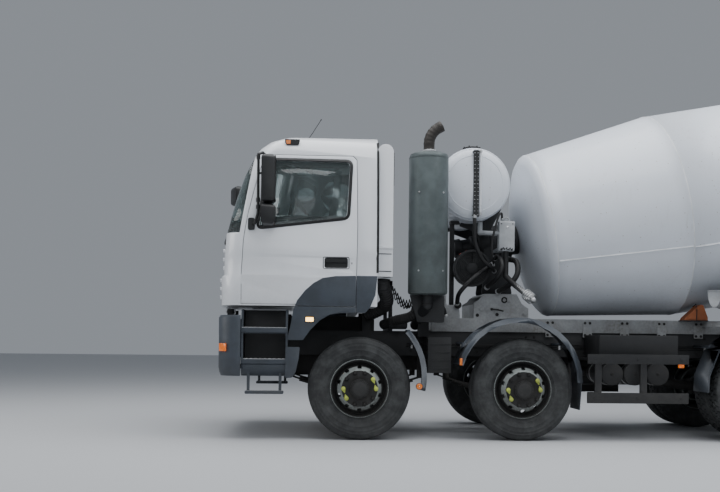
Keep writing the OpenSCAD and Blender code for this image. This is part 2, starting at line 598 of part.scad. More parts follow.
// The grey flare's parts on the door and on the cab's rear corner
DOOR_FLARE = [[670, FLARE_SPLIT[1]], [647, 1433], [565, 1536], [483, 1609], [391, 1661], [259, 1682],
    [DOOR_X[1] + DOOR_GAP, FLARE_TOP], [DOOR_X[1] + DOOR_GAP, FLARE_SPLIT[1]]];
CAB_FLARE = [[1 - cab_rear, FLARE_TOP], [DOOR_X[1], FLARE_TOP], [DOOR_X[1], 1309], [-47, 1309],
    [-98, 1370], [-149, 1494]];
// Pin of the door's hinge, inside the gap along its front edge
HINGE = [DOOR_X[0] - 4, cab_y - 12];
HINGE_R = 3.4;
HINGE_Z = [1590, 1690];
// Recess of the door handle
GRIP_X = [135, 375];
GRIP_Z = [1765, 1870];
module door(s) placed() side(s) color([0.93, 0.94, 0.94]) {
    translate([HINGE.x, HINGE.y, HINGE_Z[0]]) cylinder(r = HINGE_R, h = HINGE_Z[1] - HINGE_Z[0]);
    difference() {
        intersection() {
            cab_skin(0, wall_t);
            door_zone(DOOR_GAP);
        }
        slab(WINDOW, DOOR_REACH);
        slab(rounded(GRIP_X, GRIP_Z, 20), [cab_y - 34, cab_y + 20]);
    }
    slab(rounded([GRIP_X[0] - 6, GRIP_X[1] + 6], [GRIP_Z[1] - 48, GRIP_Z[1] - 8], 8),
        [cab_y - 24, cab_y - 12]);
    intersection() {
        slab(DOOR_FLARE, [cab_y - 5, FLARE_Y[1]]);
        block([0, 800], [cab_y - 6, FLARE_Y[1] + 1], [FLARE_SPLIT[1], FLARE_TOP]);
    }
    intersection() {
        slab(DOOR_FLARE, [cab_y - 30, cab_y - 4]);
        block([0, 800], [cab_y - 31, cab_y - 3], [DOOR_BOTTOM + DOOR_GAP, FLARE_TOP]);
    }
}
module door_glass(s) placed() side(s) color([0.35, 0.45, 0.48, 0.5]) intersection() {
    cab_skin(14, 20);
    slab(WINDOW, DOOR_REACH);
}
MIRROR_X = [880, 1015];
MIRROR_Y = [cab_y + 20, cab_y + 240];
MIRROR_Z = [[2180, 2385], [2400, 2880]];
// A mirror's housing with rounded edges in both views
module mirror_head(x, y, z) intersection() {
    slab(rounded(x, z, 40), y);
    plate(rounded(y, z, 48), x);
}
// Tall and wide-angle mirror housings on their bow, carried by the door
module door_mirror(s) placed() side(s) color([0.12, 0.12, 0.13]) {
    for (z = MIRROR_Z) mirror_head(MIRROR_X, MIRROR_Y, z);
    pipe([[1100, cab_y + 6, 2200], [1080, MIRROR_Y[0] + 60, 2200], [1050, MIRROR_Y[0] + 90, 2300],
        [1050, MIRROR_Y[0] + 90, 2890], [1010, MIRROR_Y[0] + 50, 2915], [930, cab_y - 76.3, 2870]], 14);
    for (z = [2300, 2700]) rod([1050, MIRROR_Y[0] + 90, z], [MIRROR_X[1] - 5, MIRROR_Y[0] + 90, z], 12);
}
module front_mirror() placed() color([0.12, 0.12, 0.13]) {
    translate([front_overhang - 120, -900, 2660]) rotate([0, 0, 20])
        mirror_head([0, 90], [-110, 110], [0, 230]);
    rod([front_overhang - 90, -900, 2850], [front_overhang - 384.4, -900, 2935.1], 14);
}
DASH_X = [820, front_overhang - 200];
module dashboard() placed() color([0.17, 0.18, 0.19])
    slab([[DASH_X[1], 1900], [DASH_X[1] - 20, 2090], [DASH_X[0] + 60, 2080], [DASH_X[0], 1990],
        [DASH_X[0] + 20, 1800], [DASH_X[0] + 150, 1740], [DASH_X[0] + 200, cab_z + wall_t],
        [DASH_X[1] - 60, cab_z + wall_t]], [-1000, 1000]);
SEAT_X = [150, 640];
SEAT_Y = 560;
// Two seats on their boxes
module seats() placed() color([0.22, 0.23, 0.26]) both() translate([0, SEAT_Y, 0]) {
    block([SEAT_X[0] + 40, SEAT_X[1] - 60], [-200, 200], [cab_z + wall_t, 1760]);
    block(SEAT_X, [-240, 240], [1759, 1890]);
    slab([[SEAT_X[0], 1889], [SEAT_X[0] + 130, 1889], [SEAT_X[0] + 70, 2480], [SEAT_X[0] - 30, 2480]],
        [-235, 235]);
    slab([[SEAT_X[0] - 15, 2479], [SEAT_X[0] + 60, 2479], [SEAT_X[0] + 45, 2680], [SEAT_X[0] - 30, 2680]],
        [-130, 130]);
}
WHEEL_AT = [760, SEAT_Y, 2080];
module steering_wheel() placed() color([0.08, 0.08, 0.09]) {
    translate(WHEEL_AT) rotate([0, -32, 0]) {
        rotate_extrude($fn = 64) translate([215, 0]) circle(r = 15, $fn = 24);
        for (a = [30, 150, 270]) rotate([0, 0, a]) translate([30, -14, -8]) cube([182, 28, 12]);
        translate([0, 0, -20]) cylinder(r = 55, h = 26);
    }
    rod(WHEEL_AT, WHEEL_AT + 96.2 * [sin(32), 0, -cos(32)], 28);
}
module intake_duct() placed() color([0.93, 0.94, 0.94]) {
    slab(concat([[-cab_rear - 165, 1690], [-cab_rear, 1690], [-cab_rear, 3000]],
        arc([-cab_rear - 82, 2980], 82, 30, 180, 8)), [900, 1120]);
    block([-cab_rear - 165, -cab_rear], [890, 1130], [1980, 2010]);
}

// Silencer

SILENCER_X = -715;
SILENCER_Y = 985;
SILENCER_R = 207;
SILENCER_Z = [1515, 2997];
EXHAUST_R = 57;
EXHAUST_BEND = 190;
// The end pipe's route from the silencer's top: straight up, then bent to the rear
EXHAUST = concat([[0, 0, SILENCER_Z[1] - 20]], [for (a = [0:12:60])
    [-EXHAUST_BEND * (1 - cos(a)), 0, SILENCER_Z[1] + 103 + EXHAUST_BEND * sin(a)]]);
EXHAUST_END = EXHAUST[len(EXHAUST) - 1] + 45 * [-sin(60), 0, cos(60)];
module silencer() placed() color([0.42, 0.45, 0.42]) translate([SILENCER_X, SILENCER_Y, 0]) {
    rotate_extrude($fn = 72) polygon([[0, SILENCER_Z[0]], [SILENCER_R - 30, SILENCER_Z[0]],
        [SILENCER_R - 7, SILENCER_Z[0] + 8], [SILENCER_R, SILENCER_Z[0] + 24],
        [SILENCER_R, SILENCER_Z[1] - 50], [SILENCER_R - 13, SILENCER_Z[1] - 16],
        [SILENCER_R - 48, SILENCER_Z[1]], [0, SILENCER_Z[1]]]);
    translate([0, 0, SILENCER_Z[1] - 1]) cylinder(r = EXHAUST_R + 15, h = 36);
    difference() {
        union() {
            pipe(EXHAUST, EXHAUST_R);
            rod(EXHAUST[len(EXHAUST) - 1], EXHAUST_END, EXHAUST_R + 2);
        }
        rod(EXHAUST[3], EXHAUST[4], EXHAUST_R - 6);
        rod(EXHAUST[4], EXHAUST[5], EXHAUST_R - 6);
        rod(EXHAUST[5], EXHAUST[6], EXHAUST_R - 6);
        rod(EXHAUST[6], EXHAUST_END + [-5, 0, 3], EXHAUST_R - 6);
    }
    pipe([[0, 0, SILENCER_Z[0] + 10], [0, 0, 1400], [60, -200, 1300],
        [60, rail_y - SILENCER_Y - 60, 1205]], 55);
    for (z = [1600, 2150]) block([-60, 60], [-360, -SILENCER_R + 12], [z, z + 60]);
    block([-60, 60], [-400, -350], [RAIL_TOP - 60, 2210]);
    block([-60, 60], [rail_y - SILENCER_Y, -350], [RAIL_TOP - 60, RAIL_TOP]);
    // Foot under the silencer, cut out below the pipe
    slab(soft([[-195, SILENCER_Z[0] + 6], [175, SILENCER_Z[0] + 6], [95, 1230], [-195, 1230]], 12),
        [-150, -110]);
    block([-190, 90], [-355, -111], [1230, 1262]);
}

// Mixer frame, drum and drive

// A point on the drum's axis at distance s from its front end
function on_axis(s) = [-drum_front - s * cos(drum_tilt), 0, drum_z + s * sin(drum_tilt)];
// Draws its children with +Z along the drum's axis, towards the mouth
module on_drum() placed() translate([-drum_front, 0, drum_z]) rotate([0, -90 + drum_tilt, 0]) children();
CONE_R = 930;
KNUCKLE_R = 800;
MOUTH_R = 580;
// Places along the drum: dish edge, front cone, cylinder, rear cone, roller ring, mouth
DRUM_S = [165, 250, 1680, 2900, 4000, 5000];
DISH_R = 2400;
DISH_AT = 40;
DISH_ANGLE = asin(KNUCKLE_R / DISH_R);
SHELL_T = 14;
RING_W = 110;
function rear_cone_r(s) = drum_r + (MOUTH_R - drum_r) * (s - DRUM_S[3]) / (DRUM_S[5] - DRUM_S[3]);
RING_R = rear_cone_r(DRUM_S[4]) + 50;
DRUM_SECTION = concat(
    [for (i = [0:6]) let (a = DISH_ANGLE * i / 6) [DISH_R * sin(a), DISH_AT + DISH_R * (1 - cos(a))]],
    [[868, 200], [CONE_R - 10, DRUM_S[1] - 10], [CONE_R, DRUM_S[1] + 10], [drum_r, DRUM_S[2]],
        [drum_r, DRUM_S[3]], [MOUTH_R, DRUM_S[5]], [MOUTH_R - SHELL_T, DRUM_S[5]],
        [drum_r - SHELL_T, DRUM_S[3]], [drum_r - SHELL_T, DRUM_S[2]], [CONE_R - SHELL_T - 8, DRUM_S[1] + 10],
        [868 - SHELL_T, 200 + SHELL_T]],
    [for (i = [6:-1:0]) let (a = DISH_ANGLE * i / 6, r = DISH_R - SHELL_T)
        [r * sin(a), DISH_AT + DISH_R - r * cos(a)]]);
module drum() on_drum() color([0.90, 0.91, 0.90]) {
    rotate_extrude($fn = 120) polygon(DRUM_SECTION);
    translate([0, 0, DRUM_S[4] - RING_W / 2]) rotate_extrude($fn = 120)
        polygon([[rear_cone_r(DRUM_S[4]) - 60, 0], [RING_R, 0], [RING_R, RING_W],
            [rear_cone_r(DRUM_S[4]) - 60, RING_W]]);
    // Welds between the drum's sections, and the rolled ring at its mouth
    for (weld = [[DRUM_S[1] + 15, CONE_R], [DRUM_S[2], drum_r], [DRUM_S[3], drum_r]])
        translate([0, 0, weld[0] - 5]) rotate_extrude($fn = 120)
            polygon([[weld[1] - 8, 0], [weld[1] + 2, 2], [weld[1] + 2, 8], [weld[1] - 8, 10]]);
    translate([0, 0, DRUM_S[5] - 10]) rotate_extrude($fn = 120) translate([MOUTH_R - 4, 0])
        circle(r = 14, $fn = 16);
}
ROLLER_R = 120;
ROLLER_ANGLE = 32;
ROLLER_PIN = 30;
module at_roller(s) on_drum() rotate([0, 0, -s * ROLLER_ANGLE])
    translate([-(RING_R + ROLLER_R + SEAT_GAP), 0, DRUM_S[4]]) children();
module roller(s) color([0.15, 0.15, 0.16]) at_roller(s) difference() {
    translate([0, 0, -60]) cylinder(r = ROLLER_R, h = 120);
    translate([0, 0, -61]) cylinder(r = ROLLER_PIN + FIT, h = 122);
}
PED_REAR_X = [-5500, -6180];
PED_TOP = 1840;
PED_FRONT_TOP = 1558;
MAST_Y = 770;
SUB_FRONT = -830;
// Side plate of the front pedestal, with the holes of its bolts
PED_FRONT = [[-1299, SUB_TOP - 1], [-1299, 1457], [-1354, 1490], [-1388, 1535], [-1443, PED_FRONT_TOP],
    [-1778, PED_FRONT_TOP], [-1834, 1453], [-1912, 1398], [-1912, SUB_TOP - 1]];
PED_BOLTS = [[-1385, 1390], [-1450, 1385], [-1870, 1345], [-1690, 1490]];
// Side plate of the rear pedestal, with its cut-out
PED_REAR = [[PED_REAR_X[0], SUB_TOP - 1], [PED_REAR_X[0] - 260, PED_TOP - 20],
    [PED_REAR_X[1] + 40, PED_TOP - 20], [PED_REAR_X[1], SUB_TOP - 1]];
PED_HOLE = [[PED_REAR_X[0] - 130, SUB_TOP + 90], [PED_REAR_X[0] - 290, PED_TOP - 170],
    [PED_REAR_X[1] + 130, PED_TOP - 170], [PED_REAR_X[1] + 100, SUB_TOP + 90]];
// Subframe with its front and rear pedestals, and the brackets of the drum's rollers
module mixer_frame() color([0.92, 0.93, 0.92]) {
    placed() {
        both() block([SUB_FRONT, -rail_rear + 150], [rail_y - 75, rail_y + 25], [RAIL_TOP, SUB_TOP]);
        for (x = [SUB_FRONT - 60, -2600, -4000, PED_REAR_X[1] + 80])
            block([x, x - 100], [-rail_y + 70, rail_y - 70], [RAIL_TOP + 20, SUB_TOP - 20]);
        // Front pedestal: plates with bolt heads, cross plates, and the bracket at the subframe's end
        both() {
            slab(PED_FRONT, [rail_y - 12, rail_y]);
            for (p = PED_BOLTS) translate([p.x, rail_y - 1, p.y]) rotate([-90, 0, 0])
                cylinder(r = 26, h = 16, $fn = 6);
            slab(soft([[SUB_FRONT - 40, SUB_TOP - 1], [SUB_FRONT - 40, 1560], [SUB_FRONT - 160, 1560],
                [SUB_FRONT - 160, 1430], [SUB_FRONT - 300, 1430], [SUB_FRONT - 320, SUB_TOP - 1]], 20),
                [rail_y - 12, rail_y]);
        }
        block([-1420, -1770], [-rail_y + 11, rail_y - 11], [PED_FRONT_TOP - 22, PED_FRONT_TOP]);
        block([-1300, -1318], [-rail_y + 11, rail_y - 11], [SUB_TOP - 10, 1440]);
        // Rear pedestal
        both() difference() {
            slab(PED_REAR, [rail_y - 20, rail_y]);
            slab(soft(PED_HOLE, 70), [rail_y - 30, rail_y + 10]);
        }
        block([PED_REAR_X[0] - 270, PED_REAR_X[1] + 50], [-MAST_Y - 30, MAST_Y + 30],
            [PED_TOP - 60, PED_TOP]);
        both() plate([[rail_y - 1, PED_TOP - 240], [MAST_Y + 20, PED_TOP - 59], [rail_y - 1, PED_TOP - 59]],
            [PED_REAR_X[1] + 60, PED_REAR_X[1] + 74]);
        // Arms that carry the spare chute
        for (x = [-3890, -4570]) {
            block([x - 25, x + 25], [rail_y + 25, SPARE_Y + 25], [1215, 1265]);
            block([x - 25, x + 25], [SPARE_Y - 25, SPARE_Y + 25], [1264, SPARE_Z - SPARE_R - 5]);
        }
        // Mast that carries the hopper
        both() {
            block([PED_REAR_X[1] + 20, PED_REAR_X[1] + 80], [MAST_Y - 30, MAST_Y + 30],
                [PED_TOP - 1, 2360]);
            rod([PED_REAR_X[1] + 50, MAST_Y, 2340], [HOPPER_X - 30, MAST_Y, NECK_Z], 32);
            block([HOPPER_X, HOPPER_X - 80], [MAST_Y - 40, MAST_Y + 40], [NECK_Z - 30, NECK_Z + 60]);
        }
    }
    for (s = [-1, 1]) at_roller(s) {
        translate([0, 0, -100]) cylinder(r = ROLLER_PIN, h = 200);
        for (z = [-90, 75]) translate([0, 0, z]) {
            cylinder(r = 55, h = 15);
            rotate([0, 0, s * ROLLER_ANGLE]) translate([-240, -50, 0]) cube([240, 100, 15]);
        }
    }
}
DRIVE_Y = 210;
DRIVE_S = -58;
COOLER = [-1258, 1832];
// Drum gearbox on its bracket, its hydraulic motor and the oil cooler
module drum_drive() color([0.20, 0.21, 0.22]) {
    on_drum() {
        translate([0, 0, DRIVE_S - 2]) cylinder(r = 170, h = 2 - DRIVE_S + DISH_AT - SEAT_GAP);
        translate([0, 0, DRIVE_S - 362]) rotate_extrude() polygon([[0, 0], [180, 0], [196, 14], [196, 120],
            [215, 135], [215, 190], [196, 205], [196, 300], [215, 315], [215, 362], [0, 362]]);
        translate([0, 0, DRIVE_S - 642]) rotate_extrude() polygon([[0, 0], [88, 0], [110, 20], [110, 90],
            [92, 100], [92, 200], [120, 215], [120, 283], [0, 283]]);
    }
    placed() {
        both() slab(soft([[-1420, PED_FRONT_TOP], [-1450, 1800], [-1440, 2080], [-1700, 2140],
            [-1720, 1800], [-1770, PED_FRONT_TOP]], 30), [DRIVE_Y - 22, DRIVE_Y]);
        block([-1480, -1690], [-DRIVE_Y + 21, DRIVE_Y - 21], [1700, 1990]);
        // Oil cooler with its fan ring, on an arm of the bracket
        translate([COOLER.x, 0, COOLER.y]) {
            axis_y(197, [rail_y - 40, rail_y + 110]);
            difference() {
                axis_y(204, [rail_y + 95, rail_y + 128]);
                axis_y(180, [rail_y + 109, rail_y + 129]);
            }
            axis_y(60, [rail_y + 108, rail_y + 122]);
        }
        block([-1440, -1480], [DRIVE_Y - 1, rail_y + 60], [1800, 1860]);
    }
}

// Water tank and pipework

WATER_X = -1245;
WATER_Z = 2730;
WATER_R = 388;
WATER_HALF = 700;
WATER_PIPE = [-1330, 600, 2330];
WATER_LEG_Y = 368;
WATER_FILLER = [0, 520];
module water_tank() placed() color([0.92, 0.93, 0.93]) translate([WATER_X, 0, WATER_Z]) {
    rotate([-90, 0, 0]) rotate_extrude($fn = 96) polygon(concat([[0, -WATER_HALF - 90]],
        [for (i = [1:5]) let (a = i * 18) [WATER_R * sin(a), -WATER_HALF - 90 * cos(a)]],
        [for (i = [5:-1:1]) let (a = i * 18) [WATER_R * sin(a), WATER_HALF + 90 * cos(a)]],
        [[0, WATER_HALF + 90]]));
    both() {
        // Saddle, leg and strap
        slab([[120, -300], [105, -420], [-205, -530], [-360, -225], [-300, -180]],
            [WATER_LEG_Y - 10, WATER_LEG_Y + 10]);
        block([105, 215], [WATER_LEG_Y - 60, WATER_LEG_Y + 60], [-WATER_R + 20, -WATER_R - 12]);
        block([165, 215], [WATER_LEG_Y - 16, WATER_LEG_Y + 16], [SUB_TOP - WATER_Z, -WATER_R + 15]);
        translate([0, WATER_LEG_Y, 0]) axis_y(WATER_R + 4, [-25, 25]);
    }
    translate([0, WATER_HALF - 60, 0]) axis_y(WATER_R + 6, [0, 40]);
    translate([WATER_FILLER.x, WATER_FILLER.y, WATER_R - 12]) {
        cylinder(r = 75, h = 30);
        cylinder(r = 85, h = 22 + 20);
    }
    translate([WATER_PIPE.x - WATER_X, WATER_PIPE.y, WATER_PIPE.z - WATER_Z]) cylinder(r = 34, h = 60);
}
PUMP_X = [-1515, -1678];
PUMP_Y = [640, 760];
PUMP_Z = [2007, 2329];
module water_pipes() placed() color([0.85, 0.86, 0.87]) {
    plate(rounded(PUMP_Y, PUMP_Z, 18), PUMP_X);
    pipe([[-1597, 700, PUMP_Z[0] + 10], [-1597, 700, 1740], [-1684, 760, 1643], [-1835, 1000, 1472]], 30);
    translate([-1800, 945, 1511]) rotate([0, 45, 58]) cylinder(r = 58, h = 26, center = true);
    rod(WATER_PIPE, [WATER_PIPE.x, WATER_PIPE.y, 2215], 26);
    pipe([[WATER_PIPE.x, WATER_PIPE.y, 2215], [-1530, 690, 2200]], 26);
    // Bracket from the pump box to the gearbox's bracket
    block([-1540, -1640], [DRIVE_Y, PUMP_Y[0] + 5], [2030, 2060]);
    // Lifting eye on the pump box
    translate([-1600, 700, PUMP_Z[1] + 18]) rotate([90, 0, 0]) rotate_extrude() translate([26, 0])
        circle(r = 8, $fn = 16);
}

// Hopper, ladder and chutes

HOPPER_X = -drum_front - 4950;
NECK_Z = 3330;
// Levels of the hopper: height, front, rear and half width
HOPPER = [[NECK_Z, HOPPER_X + 55, HOPPER_X - 310, 220], [3690, HOPPER_X + 75, HOPPER_X - 420, 340],
    [3950, HOPPER_X + 280, HOPPER_X - 620, 520]];
HOPPER_T = 10;
RIM_R = 14;
RIM_Z = HOPPER[2][0] - RIM_R;
module hopper_form(inset) loft([for (k = [0:len(HOPPER) - 1])
    let (h = HOPPER[k], z = h[0] + sign(inset) * (k - 1), front = h[1] - inset, rear = h[2] + inset,
        half = h[3] - inset) [[rear, -half, z], [front, -half, z], [front, half, z], [rear, half, z]]]);
// The spout that runs from the neck down into the drum's mouth, seen from the side
SPOUT_DROP = [HOPPER_X + 320, NECK_Z - 350];
module feed_hopper() placed() color([0.90, 0.91, 0.90]) {
    difference() { hopper_form(0); hopper_form(HOPPER_T); }
    slab([[HOPPER[0][2], NECK_Z + 10], SPOUT_DROP, [SPOUT_DROP.x, SPOUT_DROP.y - 10],
        [HOPPER[0][2], NECK_Z]], [-HOPPER[0][3], HOPPER[0][3]]);
    both() {
        slab([[HOPPER[0][2], NECK_Z + 1], [HOPPER[0][1], NECK_Z + 1], [SPOUT_DROP.x, SPOUT_DROP.y + 120],
            SPOUT_DROP], [HOPPER[0][3] - HOPPER_T, HOPPER[0][3]]);
        block([HOPPER_X - 10, HOPPER_X - 70], [HOPPER[0][3] - 4, MAST_Y - 40], [NECK_Z - 10, NECK_Z + 50]);
        // Rolled edge of the rim
        rod([HOPPER[2][1] + 6, HOPPER[2][3], RIM_Z], [HOPPER[2][2] - 6, HOPPER[2][3], RIM_Z], RIM_R - 2);
    }
    for (x = [HOPPER[2][1], HOPPER[2][2]]) translate([x, 0, RIM_Z])
        axis_y(RIM_R, [-HOPPER[2][3] - RIM_R, HOPPER[2][3] + RIM_R]);
}
// Levels of the funnel between the drum's mouth and the chute, as in the hopper
FUNNEL = [[2060, -6590, -6850, 190], [2350, -6620, -7000, 330], [2480, -6860, -7080, 410]];
FUNNEL_T = 8;
FUNNEL_ARM = [2430, 2480];
module funnel_form(inset) loft([for (k = [0:len(FUNNEL) - 1])
    let (h = FUNNEL[k], z = h[0] + sign(inset) * (k - 1) * 2, front = h[1] - inset, rear = h[2] + inset,
        half = h[3] - inset) [[rear, -half, z], [front, -half, z], [front, half, z], [rear, half, z]]]);
// Open funnel that guides the concrete from the drum's mouth down to the chute
module discharge_funnel() placed() color([0.90, 0.91, 0.90]) {
    difference() { funnel_form(0); funnel_form(FUNNEL_T); }
    both() {
        block([-6920, -6970], [FUNNEL[2][3] - 22, MAST_Y - 34], FUNNEL_ARM);
        block([PED_REAR_X[1] + 75, -6970], [MAST_Y - 70, MAST_Y - 34], FUNNEL_ARM);
        block([PED_REAR_X[1] + 75, PED_REAR_X[1] - 20], [MAST_Y - 70, MAST_Y - 34],
            [2280, FUNNEL_ARM[1]]);
        block([PED_REAR_X[1] + 75, PED_REAR_X[1] + 25], [MAST_Y - 35, MAST_Y - 30 - SEAT_GAP],
            [2280, 2318]);
    }
}
module ladder() placed() color([0.25, 0.26, 0.27]) {
    for (y = [-870, -1170]) block([PED_REAR_X[1] - 60, PED_REAR_X[1] - 20], [y - 20, y + 20], [800, 2920]);
    for (z = [860:290:2900]) block([PED_REAR_X[1] - 55, PED_REAR_X[1] - 25], [-1170, -870], [z, z + 30]);
    block([PED_REAR_X[1] - 400, PED_REAR_X[1] + 100], [-1190, -845], [2900, 2940]);
    for (y = [-870, -1170]) block([PED_REAR_X[1] - 55, PED_REAR_X[1] + 60], [y - 15, y + 15], [1780, 1820]);
    block([PED_REAR_X[1] + 55, PED_REAR_X[1] + 75], [-1185, -MAST_Y - 30], [1780, 1820]);
    // Handrails round the platform
    for (y = [-860, -1175]) pipe([[PED_REAR_X[1] + 85, y, 2939], [PED_REAR_X[1] + 85, y, 3500],
        [PED_REAR_X[1] - 385, y, 3500], [PED_REAR_X[1] - 385, y, 2939]], 15);
    rod([PED_REAR_X[1] + 85, -1175, 3220], [PED_REAR_X[1] - 385, -1175, 3220], 12);
    rod([PED_REAR_X[1] + 85, -1175, 3500], [PED_REAR_X[1] + 85, -860, 3500], 15);
}
// A half-round trough along -X: length, inner radius and wall
module trough(len, r, t) rotate([0, -90, 0]) difference() {
    cylinder(r = r + t, h = len);
    translate([0, 0, -1]) cylinder(r = r, h = len + 2);
    translate([0, -r - t - 1, -1]) cube([r + t + 1, 2 * (r + t + 1), len + 2]);
}
// Rolled edges of such a trough
module trough_rims(len, r, t) both() rod([0, r + t / 2, 0], [-len, r + t / 2, 0], 8);
SWIVEL_Z = [900, 1425];
LIFT_Z = 1780;
LIFT_PIN = 16;
EAR_Y = [chute_r + 32, chute_r + 47];
SWIVEL_PIN = 45;
POST_ARM_Z = 820;
SPARE_Y = 1010;
SPARE_Z = 1600;
SPARE_R = 180;
SPARE_LEN = 900;
module spare_chute() placed() color([0.90, 0.91, 0.90])
    translate([-3780, SPARE_Y, SPARE_Z]) {
        trough(SPARE_LEN, SPARE_R, 5);
        trough_rims(SPARE_LEN, SPARE_R, 5);
        for (x = [-60, 76 - SPARE_LEN]) translate([x, 0, 0]) trough(16, SPARE_R + 4, 14);
    }
// Fixed post behind the frame, around which the chute swings
module swivel_post() {
    translate([CHUTE_X, 0, POST_ARM_Z]) cylinder(r = SWIVEL_PIN, h = SWIVEL_Z[1] - POST_ARM_Z - 80);
    translate([CHUTE_X, 0, POST_ARM_Z]) cylinder(r = 80, h = SWIVEL_Z[0] - POST_ARM_Z - 1);
    block([-rail_rear - 7, CHUTE_X], [-70, 70], [POST_ARM_Z, SWIVEL_Z[0] - 6]);
}
// Lower eye of the lift cylinder and its eye under the chute, seen from the lift hinge
CYL_LOW = [-110, SWIVEL_Z[0] + 40 - LIFT_Z];
CYL_TOP_LOCAL = [-740, -chute_r - 58];
CYL_TOP = [CYL_TOP_LOCAL.x * cos(CHUTE_TILT) - CYL_TOP_LOCAL.y * sin(CHUTE_TILT),
    CYL_TOP_LOCAL.x * sin(CHUTE_TILT) + CYL_TOP_LOCAL.y * cos(CHUTE_TILT)];
CYL_LEN = norm(CYL_TOP - CYL_LOW);
CYL_ANGLE = atan2(CYL_LOW.x - CYL_TOP.x, CYL_TOP.y - CYL_LOW.y);
CYL_PIN = 12;
BARREL_LEN = 395;
ROD_IN = 262;
module at_lift() placed() translate([CHUTE_X, 0, LIFT_Z]) children();
// Draws its children with +Z along the lift cylinder, from its lower eye
module on_cylinder() at_lift() translate([CYL_LOW.x, 0, CYL_LOW.y]) rotate([0, -CYL_ANGLE, 0]) children();
module on_chute() at_lift() rotate([0, -CHUTE_TILT, 0]) children();
// Turning head of the chute: sleeve on the post, yoke with two ears, and the cylinder's lower lugs
module chute_swivel() at_lift() color([0.30, 0.32, 0.33]) {
    z0 = SWIVEL_Z[0] - LIFT_Z;
    z1 = SWIVEL_Z[1] - LIFT_Z;
    difference() {
        translate([0, 0, z0]) cylinder(r = 75, h = z1 - z0);
        translate([0, 0, z0 - 1]) cylinder(r = SWIVEL_PIN + FIT, h = z1 - z0 - 60);
    }
    block([-50, 50], [-EAR_Y[1], EAR_Y[1]], [z1 - 50, z1]);
    both() difference() {
        block([-40, 40], EAR_Y, [z1 - 10, 40]);
        axis_y(LIFT_PIN + FIT, [EAR_Y[0] - 1, EAR_Y[1] + 1]);
    }
    both() block([CYL_LOW.x - 25, -60], [38, 50], [CYL_LOW.y - 30, CYL_LOW.y + 30]);
    translate([CYL_LOW.x, 0, CYL_LOW.y]) axis_y(CYL_PIN, [-50, 50]);
}
module chute_trough() on_chute() color([0.90, 0.91, 0.90]) {
    translate([CHUTE_LEAD, 0, 0]) {
        trough(chute_len, chute_r, CHUTE_T);
        trough_rims(chute_len, chute_r, CHUTE_T);
        for (x = [-250, -560, -1080]) translate([x, 0, 0]) trough(14, chute_r + CHUTE_T - 2, 16);
    }
    both() {
        block([-40, 40], [chute_r + 1, chute_r + 26], [-30, 20]);
        axis_y(LIFT_PIN, [chute_r + 25, EAR_Y[1] + 12]);
        block([FLAP_AT.x - 20, FLAP_AT.x + 60], [chute_r + 1, chute_r + CHUTE_T + 6], [-20, FLAP_AT.y + 16]);
        translate([FLAP_AT.x, 0, FLAP_AT.y]) axis_y(FLAP_PIN, [chute_r + 13, chute_r + 34]);
        block([CYL_TOP_LOCAL.x - 30, CYL_TOP_LOCAL.x + 30], [27, 39], [CYL_TOP_LOCAL.y - 14, -chute_r + 3]);
    }
}
FLAP_LEN = 640;
FLAP_AT = [CHUTE_LEAD - chute_len - 5, 24];
FLAP_PIN = 10;
FLAP_RISE = 46;
// Extension flap, folded over the end of the chute
module chute_flap() on_chute() color([0.90, 0.91, 0.90]) {
    translate([FLAP_AT.x + 70 + FLAP_LEN, 0, FLAP_RISE]) mirror([0, 0, 1]) trough(FLAP_LEN, chute_r - 20, 6);
    both() {
        difference() {
            block([FLAP_AT.x - 20, FLAP_AT.x + 150], [chute_r + 18, chute_r + 28],
                [FLAP_AT.y - 16, FLAP_RISE + 40]);
            translate([FLAP_AT.x, 0, FLAP_AT.y]) axis_y(FLAP_PIN + FIT, [chute_r, chute_r + 40]);
        }
        block([FLAP_AT.x + 72, FLAP_AT.x + 150], [chute_r - 16, chute_r + 20],
            [FLAP_RISE + 20, FLAP_RISE + 40]);
    }
}
module lift_barrel() on_cylinder() color([0.15, 0.15, 0.16]) difference() {
    union() {
        translate([0, 0, 26]) cylinder(r = 34, h = BARREL_LEN - 26);
        axis_y(24, [-34, 34]);
        translate([0, 0, 10]) cylinder(r = 18, h = 20);
    }
    axis_y(CYL_PIN + FIT, [-35, 35]);
    translate([0, 0, 40]) cylinder(r = 18 + FIT, h = BARREL_LEN);
}
module lift_rod() on_cylinder() color([0.75, 0.76, 0.78]) {
    translate([0, 0, CYL_LEN - 24]) mirror([0, 0, 1]) cylinder(r = 18, h = CYL_LEN - 24 - ROD_IN);
    translate([0, 0, CYL_LEN]) axis_y(26, [-20, 20]);
}

frame_rails();
bumper();
lamps();
steps();
fenders();
side_guards();
side_tanks();
engine();
axles();
leaf_springs();
silencer();
mixer_frame();
drum_drive();
water_tank();
water_pipes();
feed_hopper();
discharge_funnel();
ladder();
spare_chute();
drum();
roller(1);  // roller_left
roller(-1);  // roller_right
chute_swivel();
chute_trough();
chute_flap();
lift_barrel();
lift_rod();
cab_shell();
windscreen();
dashboard();
seats();
steering_wheel();
intake_duct();
front_mirror();
door(1);  // door_left
door(-1);  // door_right
door_glass(1);  // glass_left
door_glass(-1);  // glass_right
door_mirror(1);  // mirror_left
door_mirror(-1);  // mirror_right
side(1) knuckle(0);  // knuckle_1_left
side(-1) knuckle(0);  // knuckle_1_right
side(1) knuckle(1);  // knuckle_2_left
side(-1) knuckle(1);  // knuckle_2_right
side(1) steer_tyre(0);  // tyre_1_left
side(-1) steer_tyre(0);  // tyre_1_right
side(1) steer_tyre(1);  // tyre_2_left
side(-1) steer_tyre(1);  // tyre_2_right
side(1) steer_rim(0);  // rim_1_left
side(-1) steer_rim(0);  // rim_1_right
side(1) steer_rim(1);  // rim_2_left
side(-1) steer_rim(1);  // rim_2_right
